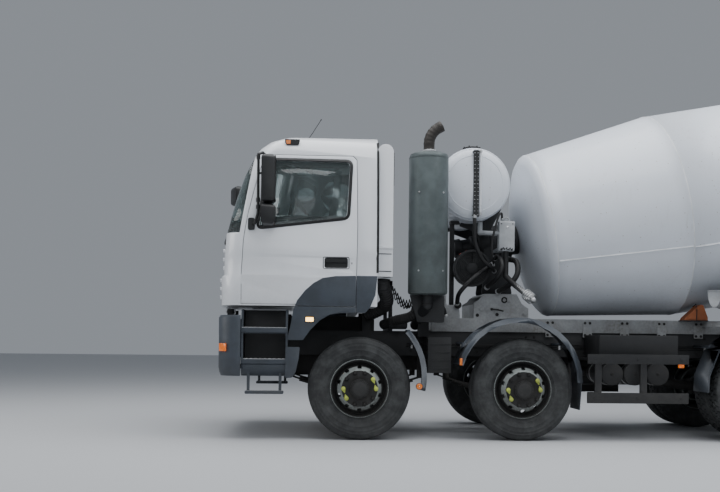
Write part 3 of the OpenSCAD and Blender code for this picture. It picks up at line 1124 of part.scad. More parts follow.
side(1) twin_tyres(2);  // tyre_3_left
side(-1) twin_tyres(2);  // tyre_3_right
side(1) twin_tyres(3);  // tyre_4_left
side(-1) twin_tyres(3);  // tyre_4_right
side(1) twin_rims(2);  // rim_3_left
side(-1) twin_rims(2);  // rim_3_right
side(1) twin_rims(3);  // rim_4_left
side(-1) twin_rims(3);  // rim_4_right
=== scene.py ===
# %% [markdown]
# Concrete mixer truck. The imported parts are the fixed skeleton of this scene: frame, cab panels,
# drum, wheels and every joint are already in place. This lesson dresses them. It first sets up the
# camera, floor and light, then builds the finishes, then gives each part its finish, and last adds
# the small pieces that a maker would bolt, glue or spray on.

# %% Load the frame and keep its box
import math
import random

import bmesh
import bpy
from mathutils import Matrix, Vector
from mathutils.bvhtree import BVHTree


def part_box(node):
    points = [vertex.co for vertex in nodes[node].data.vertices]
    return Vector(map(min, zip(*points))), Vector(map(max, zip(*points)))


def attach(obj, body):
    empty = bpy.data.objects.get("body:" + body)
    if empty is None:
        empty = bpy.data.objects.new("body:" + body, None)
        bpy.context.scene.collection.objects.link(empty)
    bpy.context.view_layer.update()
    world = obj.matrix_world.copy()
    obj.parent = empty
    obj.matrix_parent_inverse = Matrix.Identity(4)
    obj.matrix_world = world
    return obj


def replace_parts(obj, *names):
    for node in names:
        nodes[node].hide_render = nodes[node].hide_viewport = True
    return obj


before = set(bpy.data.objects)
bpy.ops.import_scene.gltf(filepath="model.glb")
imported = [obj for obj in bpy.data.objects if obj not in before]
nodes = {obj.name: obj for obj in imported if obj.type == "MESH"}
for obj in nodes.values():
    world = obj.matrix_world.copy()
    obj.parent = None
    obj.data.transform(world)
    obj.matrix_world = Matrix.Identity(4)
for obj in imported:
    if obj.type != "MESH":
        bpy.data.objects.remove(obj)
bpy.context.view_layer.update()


# %% [markdown]
# Everything on a truck is measured from its first axle, so the lesson does the same: `spot` takes a
# distance forward of that axle, a distance to the truck's left and a height, all in metres. The
# axles are read from the boxes of the tyres.

# %% Places on the truck
def middle(node):
    low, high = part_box(node)
    return (low + high) / 2


AXLE = {number: middle(f"tyre_{number}_left").x for number in (1, 2, 3, 4)}
WHEEL_Z = middle("tyre_1_left").z
FRONT_X = AXLE[1]
STEERED = (1, 2)
SIDES = ("left", "right")


def spot(forward, left, up):
    return Vector((FRONT_X + forward, left, up))


print("axles behind the first", [round(FRONT_X - AXLE[n], 3) for n in (2, 3, 4)])


# %% [markdown]
# The view is from the truck's left, level, about a metre up and with a normal lens. The horizon
# lies below the picture's middle, which is a vertical shift of the lens and not a tilt, because
# upright edges stay upright. The rear of the truck runs out of the picture.

# %% Camera
CAMERA_NEAR = (0.0, 1.17, 1.053)
CAMERA_RANGE = 10.28
CAMERA_TURN = math.radians(3.0)
CAMERA_ROLL = math.radians(0.6)
HORIZON_SHIFT = 92 / 720
FOCAL_MM, FILM_MM = 50, 36

look = Vector((-math.sin(CAMERA_TURN), -math.cos(CAMERA_TURN), 0))
lens_data = bpy.data.cameras.new("camera")
lens_data.lens, lens_data.sensor_width, lens_data.shift_y = FOCAL_MM, FILM_MM, HORIZON_SHIFT
camera = bpy.data.objects.new("camera", lens_data)
camera.location = spot(*CAMERA_NEAR) - look * CAMERA_RANGE
camera_turn = look.to_track_quat("-Z", "Y").to_matrix().to_4x4() @ Matrix.Rotation(CAMERA_ROLL, 4, "Z")
camera.rotation_euler = camera_turn.to_euler()
bpy.context.scene.collection.objects.link(camera)
bpy.context.scene.camera = camera
print("camera at", [round(value, 2) for value in camera.location])


# %% [markdown]
# An overcast sky gives one large soft light from above. A wide panel overhead does that in a
# studio, with a weaker one behind the camera so that the side of the truck stays readable, and a
# pale floor that throws a little light back under the chassis.

# %% Floor and light
FLOOR_SIZE = 90
PANELS = {
    # name: place, aim, size, power and colour
    "sky_panel": ((0.5, 2.0, 9.5), (0, 0.2, 1.2), (15, 9), 1500, (0.97, 0.985, 1.0)),
    "side_panel": ((3.5, 12.0, 5.5), (0, 0, 1.6), (12, 5), 200, (0.94, 0.97, 1.0)),
    "front_panel": ((13.0, 2.0, 4.5), (2, 0, 1.6), (6, 4), 220, (1.0, 0.98, 0.95)),
    "back_panel": ((-12.0, -5.0, 5.0), (-2, 0, 1.6), (8, 4), 260, (1.0, 0.99, 0.97)),
}


def add_panel(name, place, aim, size, power, color):
    data = bpy.data.lights.new(name, "AREA")
    data.shape = "RECTANGLE"
    data.size, data.size_y = size
    data.energy, data.color = power, color
    light = bpy.data.objects.new(name, data)
    light.location = place
    light.rotation_euler = (Vector(aim) - Vector(place)).to_track_quat("-Z", "Y").to_euler()
    bpy.context.scene.collection.objects.link(light)


def add_floor():
    bpy.ops.mesh.primitive_plane_add(size=FLOOR_SIZE)
    floor = bpy.context.object
    floor.name = "floor"
    material = bpy.data.materials.new("floor")
    material.use_nodes = True
    shader = material.node_tree.nodes["Principled BSDF"]
    shader.inputs["Base Color"].default_value = (0.50, 0.51, 0.525, 1)
    shader.inputs["Roughness"].default_value = 0.75
    floor.data.materials.append(material)


def add_sky():
    world = bpy.data.worlds.new("studio")
    bpy.context.scene.world = world
    world.use_nodes = True
    background = world.node_tree.nodes["Background"]
    background.inputs["Color"].default_value = (0.66, 0.71, 0.78, 1)
    background.inputs["Strength"].default_value = 0.40


add_floor()
add_sky()
for panel, values in PANELS.items():
    add_panel(panel, *values)
print("lights", list(PANELS))


# %% [markdown]
# Most of what makes paint, rubber and plastic look used is the same few effects at other strengths:
# dirt that rises from below, streaks that rain draws, and small spots. Each is one node group, built
# once and placed in every material that needs it. They read the object's own coordinates, so the
# dirt stays on a door when the door opens.

# %% Groups: inputs, outputs and small helpers
def new_group(name, inputs, output, kind="NodeSocketFloat"):
    tree = bpy.data.node_groups.new(name, "ShaderNodeTree")
    for title, value in inputs:
        socket = tree.interface.new_socket(title, in_out="INPUT", socket_type="NodeSocketFloat")
        socket.default_value = value
    tree.interface.new_socket(output, in_out="OUTPUT", socket_type=kind)
    return tree, tree.nodes.new("NodeGroupInput").outputs, tree.nodes.new("NodeGroupOutput").inputs[output]


def add_node(tree, kind, links=None, **settings):
    node = tree.nodes.new(kind)
    for key, value in settings.items():
        setattr(node, key, value)
    for socket, source in (links or {}).items():
        if isinstance(source, bpy.types.NodeSocket):
            tree.links.new(source, node.inputs[socket])
        else:
            node.inputs[socket].default_value = source
    return node


def own_place(tree, stretch=(1, 1, 1)):
    """The object's own coordinates, stretched along its axes."""
    place = tree.nodes.new("ShaderNodeTexCoord").outputs["Object"]
    return add_node(tree, "ShaderNodeMapping", {"Vector": place, "Scale": stretch}).outputs["Vector"]


def noise(tree, scale, detail=4.0, stretch=(1, 1, 1), roughness=0.55):
    return add_node(tree, "ShaderNodeTexNoise", {"Vector": own_place(tree, stretch), "Scale": scale,
                                                 "Detail": detail, "Roughness": roughness}).outputs["Fac"]


def remap(tree, value, low, high, to_low=0.0, to_high=1.0, step="SMOOTHSTEP"):
    return add_node(tree, "ShaderNodeMapRange", {"Value": value, "From Min": low, "From Max": high,
                                                 "To Min": to_low, "To Max": to_high},
                    interpolation_type=step).outputs["Result"]


def maths(tree, operation, a, b):
    return add_node(tree, "ShaderNodeMath", {0: a, 1: b}, operation=operation).outputs[0]


def times(tree, a, b):
    return maths(tree, "MULTIPLY", a, b)


def emboss(tree, height, strength, distance=0.001):
    """A normal that leans where a height changes."""
    return add_node(tree, "ShaderNodeBump", {"Height": height, "Strength": strength,
                                             "Distance": distance}).outputs["Normal"]


def blend_color(tree, mask, under, over):
    """Paints one colour over another through a mask."""
    mix = add_node(tree, "ShaderNodeMix", data_type="RGBA")
    for socket, source in ((mix.inputs[0], mask), (mix.inputs[6], under), (mix.inputs[7], over)):
        if isinstance(source, bpy.types.NodeSocket):
            tree.links.new(source, socket)
        else:
            socket.default_value = (*source, 1)
    return mix.outputs[2]


# %% Groups: rising dirt, rain streaks, spots and fine surface
def build_rising_dirt():
    """Dirt that is thick at one height and gone at another, broken up by noise."""
    tree, given, mask = new_group("rising_dirt", [("Low", 0.4), ("High", 1.6), ("Amount", 0.6)], "Mask")
    place = tree.nodes.new("ShaderNodeTexCoord").outputs["Object"]
    height = add_node(tree, "ShaderNodeSeparateXYZ", {0: place}).outputs["Z"]
    rise = remap(tree, height, given["Low"], given["High"], 1.0, 0.0, "LINEAR")
    patches = remap(tree, noise(tree, 3.2, 6), 0.3, 0.75)
    fine = remap(tree, noise(tree, 38, 3), 0.25, 0.8)
    broken = times(tree, maths(tree, "ADD", patches, rise), rise)
    dusted = times(tree, broken, maths(tree, "ADD", times(tree, fine, 0.6), 0.4))
    scaled = times(tree, dusted, given["Amount"])
    tree.links.new(add_node(tree, "ShaderNodeClamp", {"Value": scaled}).outputs[0], mask)
    return tree


def build_rain_streaks():
    """Narrow vertical marks, thin where they start and gathered in patches."""
    tree, given, mask = new_group("rain_streaks", [("Amount", 0.4)], "Mask")
    lines = remap(tree, noise(tree, 9, 3, (3.2, 3.2, 0.22)), 0.55, 0.75)
    patches = remap(tree, noise(tree, 1.3, 2), 0.42, 0.7)
    tree.links.new(times(tree, times(tree, lines, patches), given["Amount"]), mask)
    return tree


def build_spots():
    """Small round marks of one size, such as stone chips or dried splashes."""
    tree, given, mask = new_group("spots", [("Scale", 60.0), ("Share", 0.3)], "Mask")
    cells = add_node(tree, "ShaderNodeTexVoronoi", {"Vector": own_place(tree), "Scale": given["Scale"]})
    chosen = add_node(tree, "ShaderNodeSeparateColor", {0: cells.outputs["Color"]}).outputs[0]
    kept = maths(tree, "LESS_THAN", chosen, given["Share"])
    disc = remap(tree, cells.outputs["Distance"], 0.34, 0.22)
    tree.links.new(times(tree, disc, kept), mask)
    return tree


def build_fine_surface():
    """A bumped normal from noise: orange peel on paint, grain on plastic, sand on castings."""
    tree, given, normal = new_group("fine_surface", [("Scale", 300.0), ("Depth", 0.2)], "Normal",
                                    "NodeSocketVector")
    grain = add_node(tree, "ShaderNodeTexNoise", {"Vector": own_place(tree), "Scale": given["Scale"],
                                                  "Detail": 3.0}).outputs["Fac"]
    tree.links.new(emboss(tree, grain, given["Depth"]), normal)
    return tree


GROUPS = {tree.name: tree for tree in (build_rising_dirt(), build_rain_streaks(), build_spots(),
                                       build_fine_surface())}


def effect(tree, name, **values):
    """Places a group in a material with this material's own values and gives its output."""
    node = tree.nodes.new("ShaderNodeGroup")
    node.node_tree = GROUPS[name]
    for key, value in values.items():
        node.inputs[key.title()].default_value = value
    return node.outputs[0]


print("groups", sorted(GROUPS))


# %% [markdown]
# Every finish starts from the same small recipe: a base colour, the way it shines, and a fine bump.
# Its own dirt is then painted over, and dirt is always rougher than what it lies on, so the same
# mask drives the roughness too.

# %% Recipe for a finish
MUD = (0.075, 0.070, 0.062)
CEMENT = (0.42, 0.41, 0.39)
STREAK = (0.44, 0.43, 0.41)
PALE_DIRT = (0.34, 0.32, 0.29)


def finish(name, color, roughness, metallic=0.0, coat=0.0, grain=None):
    material = bpy.data.materials.new(name)
    material.use_nodes = True
    tree = material.node_tree
    shader = tree.nodes["Principled BSDF"]
    shader.inputs["Base Color"].default_value = (*color, 1)
    shader.inputs["Roughness"].default_value = roughness
    shader.inputs["Metallic"].default_value = metallic
    shader.inputs["Coat Weight"].default_value = coat
    if coat:
        shader.inputs["Coat Roughness"].default_value = 0.08
    if grain:
        normal = effect(tree, "fine_surface", scale=grain[0], depth=grain[1])
        tree.links.new(normal, shader.inputs["Normal"])
    return material, tree, shader


def rising_dirt(tree, dirt):
    return effect(tree, "rising_dirt", low=dirt[0], high=dirt[1], amount=dirt[2])


def weather(tree, shader, color, roughness, layers):
    """Paints (mask, colour, roughness) layers over the base, one after the other."""
    shade, rough = color, roughness
    for mask, over, over_rough in layers:
        shade = blend_color(tree, mask, shade, over)
        rough = add_node(tree, "ShaderNodeMapRange", {"Value": mask, "To Min": rough,
                                                      "To Max": over_rough}).outputs["Result"]
    tree.links.new(shade, shader.inputs["Base Color"])
    tree.links.new(rough, shader.inputs["Roughness"])


# %% White paint of the cab and of the mixer
def white_paint(name, color, roughness, coat, dirt, streaks, splash):
    material, tree, shader = finish(name, color, roughness, coat=coat, grain=(900, 0.08))
    tone = remap(tree, noise(tree, 0.9, 3), 0.3, 0.7)
    weather(tree, shader, color, roughness, [
        (tone, tuple(value * 0.93 for value in color), roughness + 0.04),
        (effect(tree, "rain_streaks", amount=streaks), STREAK, 0.6),
        (effect(tree, "spots", scale=splash[0], share=splash[1]), CEMENT, 0.8),
        (rising_dirt(tree, dirt), PALE_DIRT, 0.75)])
    return material


WHITES = {
    # name: colour, roughness, coat, dirt (low, high, amount), streaks and splashes (scale, share)
    "cab_paint": ((0.82, 0.84, 0.87), 0.28, 0.6, (1.0, 1.9, 0.28), 0.10, (9, 0.0)),
    "drum_paint": ((0.72, 0.76, 0.82), 0.40, 0.2, (0.9, 2.1, 0.30), 0.30, (55, 0.02)),
}
MATERIALS = {name: white_paint(name, *values) for name, values in WHITES.items()}
print("white paints", sorted(MATERIALS))


# %% Painted steel, castings, plastics and rubber
def dusty(name, color, roughness, dirt, metallic=0.0, grain=(400, 0.25), dust=MUD):
    material, tree, shader = finish(name, color, roughness, metallic, grain=grain)
    tone = remap(tree, noise(tree, 6, 4), 0.3, 0.7)
    weather(tree, shader, color, roughness, [
        (tone, tuple(value * 0.72 for value in color), min(1.0, roughness + 0.08)),
        (rising_dirt(tree, dirt), dust, 0.9)])
    return material


DUSTY = {
    # name: colour, roughness, dirt (low, high, amount), then metallic, grain (scale, depth) and dust
    "grey_plastic": ((0.046, 0.058, 0.075), 0.42, (0.35, 1.25, 0.30), 0.0, (700, 0.3)),
    "dark_plastic": ((0.010, 0.011, 0.012), 0.38, (0.4, 1.4, 0.2), 0.0, (900, 0.25)),
    "frame_paint": ((0.012, 0.013, 0.015), 0.5, (0.3, 1.5, 0.28)),
    # The mixer frame grows much darker towards the bottom: from 2.4 m down to 0.6 m it turns to a dark grey.
    "mixer_frame_paint": ((0.42, 0.44, 0.46), 0.5, (0.6, 2.4, 0.95), 0.0, (400, 0.25),
                          (0.22, 0.215, 0.205)),
    "cast_iron": ((0.024, 0.023, 0.023), 0.66, (0.2, 1.2, 0.35), 0.3, (260, 0.6)),
    "silencer_paint": ((0.110, 0.135, 0.138), 0.42, (1.3, 2.6, 0.22), 0.35, (500, 0.2)),
    "wheel_steel": ((0.30, 0.33, 0.32), 0.5, (0.0, 1.1, 0.85), 0.15),
    "aluminium": ((0.62, 0.63, 0.64), 0.42, (0.4, 2.6, 0.5), 0.9, (300, 0.3), CEMENT),
    "chrome": ((0.78, 0.79, 0.80), 0.14, (0.2, 1.6, 0.25), 1.0, (900, 0.05)),
    "rubber": ((0.009, 0.009, 0.010), 0.55, (0.2, 1.6, 0.15)),
    "exhaust_pipe": ((0.055, 0.050, 0.046), 0.55, (1.0, 3.6, 0.4), 0.6),
    "weld_paint": ((0.86, 0.88, 0.90), 0.4, (0.9, 2.3, 0.2)),
    "wheel_dark": ((0.012, 0.012, 0.012), 0.6, (0.1, 1.0, 0.25)),
    "pointer_plastic": ((0.52, 0.60, 0.10), 0.5, (0.1, 1.1, 0.25)),
    "chock_paint": ((0.42, 0.12, 0.035), 0.6, (0.3, 2.0, 0.5)),
    # cooler red: the cooler's own dark red, used for knobs that also paint glints on its rim
    "cooler_red_and_glint": ((0.35, 0.05, 0.03), 0.5, (0.8, 2.4, 0.5)),
    "cabin_plastic": ((0.040, 0.042, 0.047), 0.6, (1.3, 2.0, 0.2), 0.0, (800, 0.4)),
}
MATERIALS |= {name: dusty(name, *values) for name, values in DUSTY.items()}
print("finishes so far", len(MATERIALS))


# %% [markdown]
# Glass needs its own recipe. A pane is a thin solid, so it transmits light; its green-grey tint is
# darker than clear glass, as painted shade for the inside of the cab. Lamp lenses are the same with a
# strong colour. A tyre is matt and paler where dust sits in it, and cloth is matt with a woven bump;
# the seat cloth's own dark colour is deepened too, as painted shade inside the cab.

# %% Glass, lenses, tyres and cloth
def glass(color):
    material, tree, shader = finish("glass", color, 0.03)
    shader.inputs["Transmission Weight"].default_value = 0.92
    shader.inputs["IOR"].default_value = 1.45
    smear = times(tree, remap(tree, noise(tree, 5, 5), 0.45, 0.8), 0.12)
    tree.links.new(blend_color(tree, smear, color, (0.6, 0.6, 0.58)), shader.inputs["Base Color"])
    return material


def lens(name, color, glow):
    material, tree, shader = finish(name, color, 0.12, coat=0.8)
    shader.inputs["Transmission Weight"].default_value = 0.35
    shader.inputs["Emission Color"].default_value = (*color, 1)
    shader.inputs["Emission Strength"].default_value = glow
    ribs = add_node(tree, "ShaderNodeTexWave", {"Vector": own_place(tree), "Scale": 26.0},
                    bands_direction="X").outputs["Fac"]
    tree.links.new(emboss(tree, ribs, 0.35, 0.002), shader.inputs["Normal"])
    return material


def tyre_rubber(color, roughness):
    material, tree, shader = finish("tyre_rubber", color, roughness, grain=(350, 0.35))
    dust = times(tree, remap(tree, noise(tree, 7, 6, roughness=0.7), 0.35, 0.75), 0.75)
    weather(tree, shader, color, roughness, [
        (dust, (0.082, 0.086, 0.086), 0.9),
        (rising_dirt(tree, (0.0, 0.9, 0.25)), (0.10, 0.098, 0.095), 0.95)])
    return material


def seat_cloth(color, thread):
    material, tree, shader = finish("seat_cloth", color, 0.92)
    weave = add_node(tree, "ShaderNodeTexChecker", {"Vector": own_place(tree),
                                                    "Scale": 260.0}).outputs["Fac"]
    shade = blend_color(tree, times(tree, weave, 0.5), color, thread)
    tree.links.new(shade, shader.inputs["Base Color"])
    tree.links.new(emboss(tree, weave, 0.4), shader.inputs["Normal"])
    shader.inputs["Sheen Weight"].default_value = 0.1
    return material


MATERIALS |= {
    # glass: the dark tint is painted shade for the inside of the cab
    "glass": glass((0.42, 0.50, 0.50)),
    "amber_lens": lens("amber_lens", (0.80, 0.20, 0.012), 0.25),
    "marker_lens": lens("marker_lens", (1.0, 0.60, 0.16), 5.0),
    "red_lens": lens("red_lens", (0.55, 0.02, 0.015), 0.15),
    "clear_lens": lens("clear_lens", (0.85, 0.87, 0.90), 0.05),
    "mirror_glass": finish("mirror_glass", (0.62, 0.66, 0.68), 0.04, 1.0)[0],
    "tyre_rubber": tyre_rubber((0.016, 0.017, 0.018), 0.72),
    # seat cloth: its own dark colour, made darker as painted shade inside the cab
    "seat_cloth": seat_cloth((0.016, 0.019, 0.028), (0.035, 0.040, 0.052)),
}
print("all finishes", len(MATERIALS))


# %% [markdown]
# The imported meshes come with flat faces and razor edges. Two modifiers put that right without moving
# a point of them: planar dissolving joins the triangles of a flat face, and a narrow bevel catches
# light along every edge, as pressed and cast parts do. Shading is smooth up to a set angle.

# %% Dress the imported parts
def soften(piece, width, angle=35):
    """Shades a piece smoothly up to an angle and puts a bevel on its sharper edges."""
    piece.data.shade_smooth()
    piece.data.set_sharp_from_angle(angle=math.radians(angle))
    if width:
        edge = piece.modifiers.new("edge", "BEVEL")
        edge.width, edge.segments = width, 2
        edge.limit_method, edge.angle_limit = "ANGLE", math.radians(angle)
        edge.harden_normals = True


def dress(name, finish_name, width):
    piece = nodes[name]
    piece.data.materials.clear()
    piece.data.materials.append(MATERIALS[finish_name])
    piece.modifiers.new("weld", "WELD").merge_threshold = 0.00002
    if width:
        planar = piece.modifiers.new("planar", "DECIMATE")
        planar.decimate_type, planar.angle_limit = "DISSOLVE", math.radians(1.0)
    soften(piece, width)


PARTS_IN = {
    "frame_paint": "frame_rails side_guards side_tanks drum_drive chute_swivel lift_barrel",
    "mixer_frame_paint": "mixer_frame water_pipes feed_hopper discharge_funnel ladder spare_chute "
                         "chute_trough chute_flap",
    "grey_plastic": "bumper steps fenders",
    "dark_plastic": "front_mirror mirror",
    "cabin_plastic": "dashboard steering_wheel",
    "cast_iron": "engine axles leaf_springs roller knuckle",
    "cab_paint": "cab_shell intake_duct door",
    "drum_paint": "water_tank drum",
    "silencer_paint": "silencer",
    "glass": "windscreen glass",
    "amber_lens": "lamps",
    "chrome": "lift_rod",
    "seat_cloth": "seats",
    "tyre_rubber": "tyre",
    "wheel_steel": "rim",
}
FINISH_OF = {part: finish_name for finish_name, parts in PARTS_IN.items() for part in parts.split()}
THIN = ("glass", "windscreen", "leaf_springs", "tyre", "drum")
for name in nodes:
    family = name if name in FINISH_OF else name.split("_")[0]
    dress(name, FINISH_OF[family], 0 if family in THIN else 0.003)
print("dressed", len(nodes), "packed parts")


# %% [markdown]
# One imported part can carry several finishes: a rim has a black barrel and a pale disc, and a door has
# a grey flare on white paint. `repaint` looks at where each face lies and gives it a finish, which
# leaves the mesh itself as it was packed.

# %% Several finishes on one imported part
FLARE_OUT, FLARE_TOP, FLARE_FRONT = 1.2365, 1.70, 0.72


def repaint(name, choose):
    """Gives each face the finish that choose() names for its middle, or leaves the first one."""
    piece = nodes[name]
    slots = {piece.data.materials[0].name: 0}
    for face in piece.data.polygons:
        finish_name = choose(face.center, face.normal)
        if finish_name is None:
            continue
        if finish_name not in slots:
            slots[finish_name] = len(slots)
            piece.data.materials.append(MATERIALS[finish_name])
        face.material_index = slots[finish_name]
    for modifier in piece.modifiers:
        if modifier.type == "DECIMATE":
            modifier.delimit = {"MATERIAL"}
    return len(slots)


def flare_or_paint(place, normal):
    on_flare = abs(place.y) > FLARE_OUT and place.z < FLARE_TOP and place.x < FRONT_X + FLARE_FRONT
    return "grey_plastic" if on_flare else None


def door_finish(place, normal):
    """The recess behind the handle is dark plastic, its rim too where the face turns away."""
    forward, out = place.x - FRONT_X, abs(place.y)
    in_recess = 0.128 < forward < 0.382 and 1.76 < place.z < 1.875 and 1.195 < out < 1.232
    if in_recess and (abs(normal.y) < 0.9 or out < 1.226):
        return "dark_plastic"
    return flare_or_paint(place, normal)


def lamp_finish(place, normal):
    forward = place.x - FRONT_X
    if forward < -6.2:
        return "red_lens"
    return "clear_lens" if forward > 1.3 and abs(place.y) < 1.10 else None


for side in SIDES:
    print("finishes on a door", repaint(f"door_{side}", door_finish))
print("finishes on the cab", repaint("cab_shell", flare_or_paint))
print("finishes on the lamps", repaint("lamps", lamp_finish))


# %% [markdown]
# The small pieces are built point by point with bmesh. `Piece` collects shapes into one mesh: turned
# ones, cut-out plates, bars along a path and boxes. A piece whose name ends in right is drawn on
# the left and mirrored at the end, so each is written once. Every piece rides on a body.

# %% Places and sections for the pieces
OUTWARD, FORWARD, BACK = (0, 1, 0), (1, 0, 0), (-1, 0, 0)


def toward(point, aim, spin=0.0):
    """A place whose +Z axis points along aim."""
    turn = Vector(aim).to_track_quat("Z", "Y").to_matrix().to_4x4()
    return Matrix.Translation(point) @ turn @ Matrix.Rotation(spin, 4, "Z")


def side_plane(forward=0.0, left=0.0, up=0.0):
    """A place for outlines drawn as seen from the left, forward and up, with depth outward."""
    return Matrix(((1, 0, 0, FRONT_X + forward), (0, 0, 1, left), (0, 1, 0, up), (0, 0, 0, 1)))


def circle(reach, count, first=0.0):
    """Points evenly round a circle, as pairs."""
    turns = [first + 2 * math.pi * k / count for k in range(count)]
    return [(reach * math.cos(turn), reach * math.sin(turn)) for turn in turns]


def flat(wide, high, top=None):
    """A four-sided section by its half width and half height, with another half width at the top."""
    top = wide if top is None else top
    return [(-wide, -high), (wide, -high), (top, high), (-top, high)]


def hoop(inner, outer, half, edge, along=0.0):
    """The profile of a band round a pipe, with narrow sloping edges."""
    return [(inner, along - half), (outer, along - edge), (outer, along + edge), (inner, along + half)]


def smooth_path(points, per_span=6):
    """A curve through every point, for hoses and bent tubes."""
    points = [Vector(p) for p in points]
    ends = [2 * points[0] - points[1]] + points + [2 * points[-1] - points[-2]]
    path = []
    for a, b, c, d in zip(ends, ends[1:], ends[2:], ends[3:]):
        for k in range(per_span):
            t = k / per_span
            path.append(0.5 * (2 * b + (c - a) * t + (2 * a - 5 * b + 4 * c - d) * t ** 2
                               + (3 * b - a - 3 * c + d) * t ** 3))
    return path + [points[-1]]


print("a round bar has", len(circle(1, 12)), "sides")


class Piece:
    def __init__(self, name, body, finish_name):
        self.name, self.body = name, body
        self.mesh = bmesh.new()
        self.finishes = []
        self.use(finish_name)

    def use(self, finish_name):
        """The shapes that follow get this finish."""
        if finish_name not in self.finishes:
            self.finishes.append(finish_name)
        self.current = self.finishes.index(finish_name)
        return self

    def points(self, places):
        return [self.mesh.verts.new(place) for place in places]

    def face(self, corners):
        self.mesh.faces.new(corners).material_index = self.current

    def skin(self, one, two, closed=True):
        """Faces between two rows of points."""
        for k in range(len(one) if closed else len(one) - 1):
            j = (k + 1) % len(one)
            self.face((one[k], two[k], two[j], one[j]))

    def turned(self, profile, place, steps=40, aim=None):
        """Turns (radius, along) points about the +Z axis of a place, or about aim at a point."""
        if not isinstance(place, Matrix):
            place = toward(place, aim) if aim else Matrix.Translation(place)
        rings = [self.points(place @ Vector((r * x, r * y, z)) for r, z in profile)
                 for x, y in circle(1, steps)]
        for one, two in zip(rings, rings[1:] + rings[:1]):
            self.skin(one, two, closed=False)
        return self

    def studs(self, profile, points, steps, aim=OUTWARD):
        """The same turned shape at several points."""
        for point in points:
            self.turned(profile, point, steps, aim)
        return self

    def prism(self, outline, place, depth, aim=None):
        """Carries a flat outline along the +Z axis of a place, or along aim at a point."""
        if aim:
            place = toward(place, aim)
        low = self.points(place @ Vector((x, y, 0)) for x, y in outline)
        high = self.points(place @ Vector((x, y, depth)) for x, y in outline)
        self.face(low[::-1])
        self.face(high)
        self.skin(low, high)
        return self

    def box(self, low, high):
        (x0, x1), (y0, y1), (z0, z1) = [sorted(pair) for pair in zip(low, high)]
        return self.prism([(x0, y0), (x1, y0), (x1, y1), (x0, y1)], Matrix.Translation((0, 0, z0)), z1 - z0)

    def bar(self, path, section, closed=False):
        """Sweeps a flat section along a path: a radius for a round bar, or a list of points."""
        if isinstance(section, (int, float)):
            section = circle(section, 12)
        path = [Vector(p) for p in path]
        count = len(path)
        rings, across = [], None
        for k, point in enumerate(path):
            before = path[(k - 1) % count] if closed or k else point
            after = path[(k + 1) % count] if closed or k < count - 1 else point
            along = (after - before).normalized()
            if across is None:
                across = along.orthogonal() if abs(along.z) > 0.9 else along.cross(Vector((0, 0, 1)))
            across = (across - along * across.dot(along)).normalized()
            up = across.cross(along)
            rings.append(self.points(point + across * u + up * v for u, v in section))
        for one, two in zip(rings, rings[1:] + rings[:1] if closed else rings[1:]):
            self.skin(one, two)
        if not closed:
            self.face(rings[0])
            self.face(rings[-1][::-1])
        return self

    def sheet(self, rows, away, thickness):
        """A thin closed sheet from rows of points, thickened along a direction."""
        away = Vector(away) * thickness
        low = [self.points(row) for row in rows]
        high = [self.points(p + away for p in row) for row in rows]
        for grid in (low, high):
            for one, two in zip(grid, grid[1:]):
                self.skin(one, two, closed=False)
        last, end = len(rows) - 1, len(rows[0]) - 1
        rim = [(a, 0) for a in range(last + 1)] + [(last, b) for b in range(1, end + 1)]
        rim += [(a, end) for a in range(last - 1, -1, -1)] + [(0, b) for b in range(end - 1, 0, -1)]
        self.skin([low[a][b] for a, b in rim], [high[a][b] for a, b in rim])

    def done(self, bevel=0.0, angle=35, weld=1e-5):
        """Closes the seams, mirrors a right-hand piece and puts it on its body."""
        bmesh.ops.remove_doubles(self.mesh, verts=self.mesh.verts, dist=weld)
        if self.name.endswith("_right"):
            bmesh.ops.scale(self.mesh, vec=(1, -1, 1), verts=self.mesh.verts)
        bmesh.ops.recalc_face_normals(self.mesh, faces=self.mesh.faces)
        data = bpy.data.meshes.new(self.name)
        self.mesh.to_mesh(data)
        self.mesh.free()
        for finish_name in self.finishes:
            data.materials.append(MATERIALS[finish_name])
        piece = bpy.data.objects.new(self.name, data)
        bpy.context.scene.collection.objects.link(piece)
        soften(piece, bevel, angle)
        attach(piece, self.body)
        return piece


print("ready to build pieces")


# %% [markdown]
# Tyres show their age and their size more than any other piece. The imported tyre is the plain
# carcass; this one adds the ribs, the grooves, the notched shoulders and the raised rings of the
# sidewall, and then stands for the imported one. The steered axles run ribs and the driven axles run
# blocks, as on most trucks of this kind.

# %% Tyres
TYRE_R = 0.533
TREAD_DEPTH = 0.0155
HALF_WIDTH = 0.155
TWINS_WIDER = 0.5
HALF_SECTION = [(0.286, 0.1085), (0.2885, 0.1135), (0.303, 0.1148), (0.318, 0.1275), (0.334, 0.1362),
                (0.3365, 0.1392), (0.3425, 0.1402), (0.345, 0.1395), (0.366, 0.1480), (0.390, 0.1522),
                (0.3925, 0.1538), (0.398, 0.1542), (0.4005, 0.1530), (0.434, 0.1545), (0.4365, 0.1548),
                (0.446, 0.1545), (0.4485, 0.1528), (0.466, 0.1508), (0.4685, 0.1516), (0.475, 0.1504),
                (0.4775, 0.1482), (0.497, 0.1422), (0.508, 0.1372), (0.5145, 0.1290), (0.5185, 0.1180)]
SECTION = HALF_SECTION + [(0.5190, 0.0)] + [(r, -w) for r, w in reversed(HALF_SECTION)]
# kind: ribs from side to side, notches round the tyre, open share of a notch, lean of a block
TREADS = {
    "steered": ([(-0.1255, -0.0815), (-0.0745, -0.0290), (-0.0215, 0.0215), (0.0290, 0.0745),
                 (0.0815, 0.1255)], 84, 0.07, 0.0),
    "driven": ([(-0.1265, -0.0700), (-0.0620, -0.0040), (0.0040, 0.0620), (0.0700, 0.1265)],
               54, 0.24, 0.25),
}
SHOULDER, SIPE = 0.15, 0.03


def kind_of(axle):
    return "steered" if axle in STEERED else "driven"


def crown(across):
    """The radius of the tread at a distance from the tyre's middle."""
    return TYRE_R - 0.0125 * max(0.0, (abs(across) - 0.06) / 0.0655) ** 2


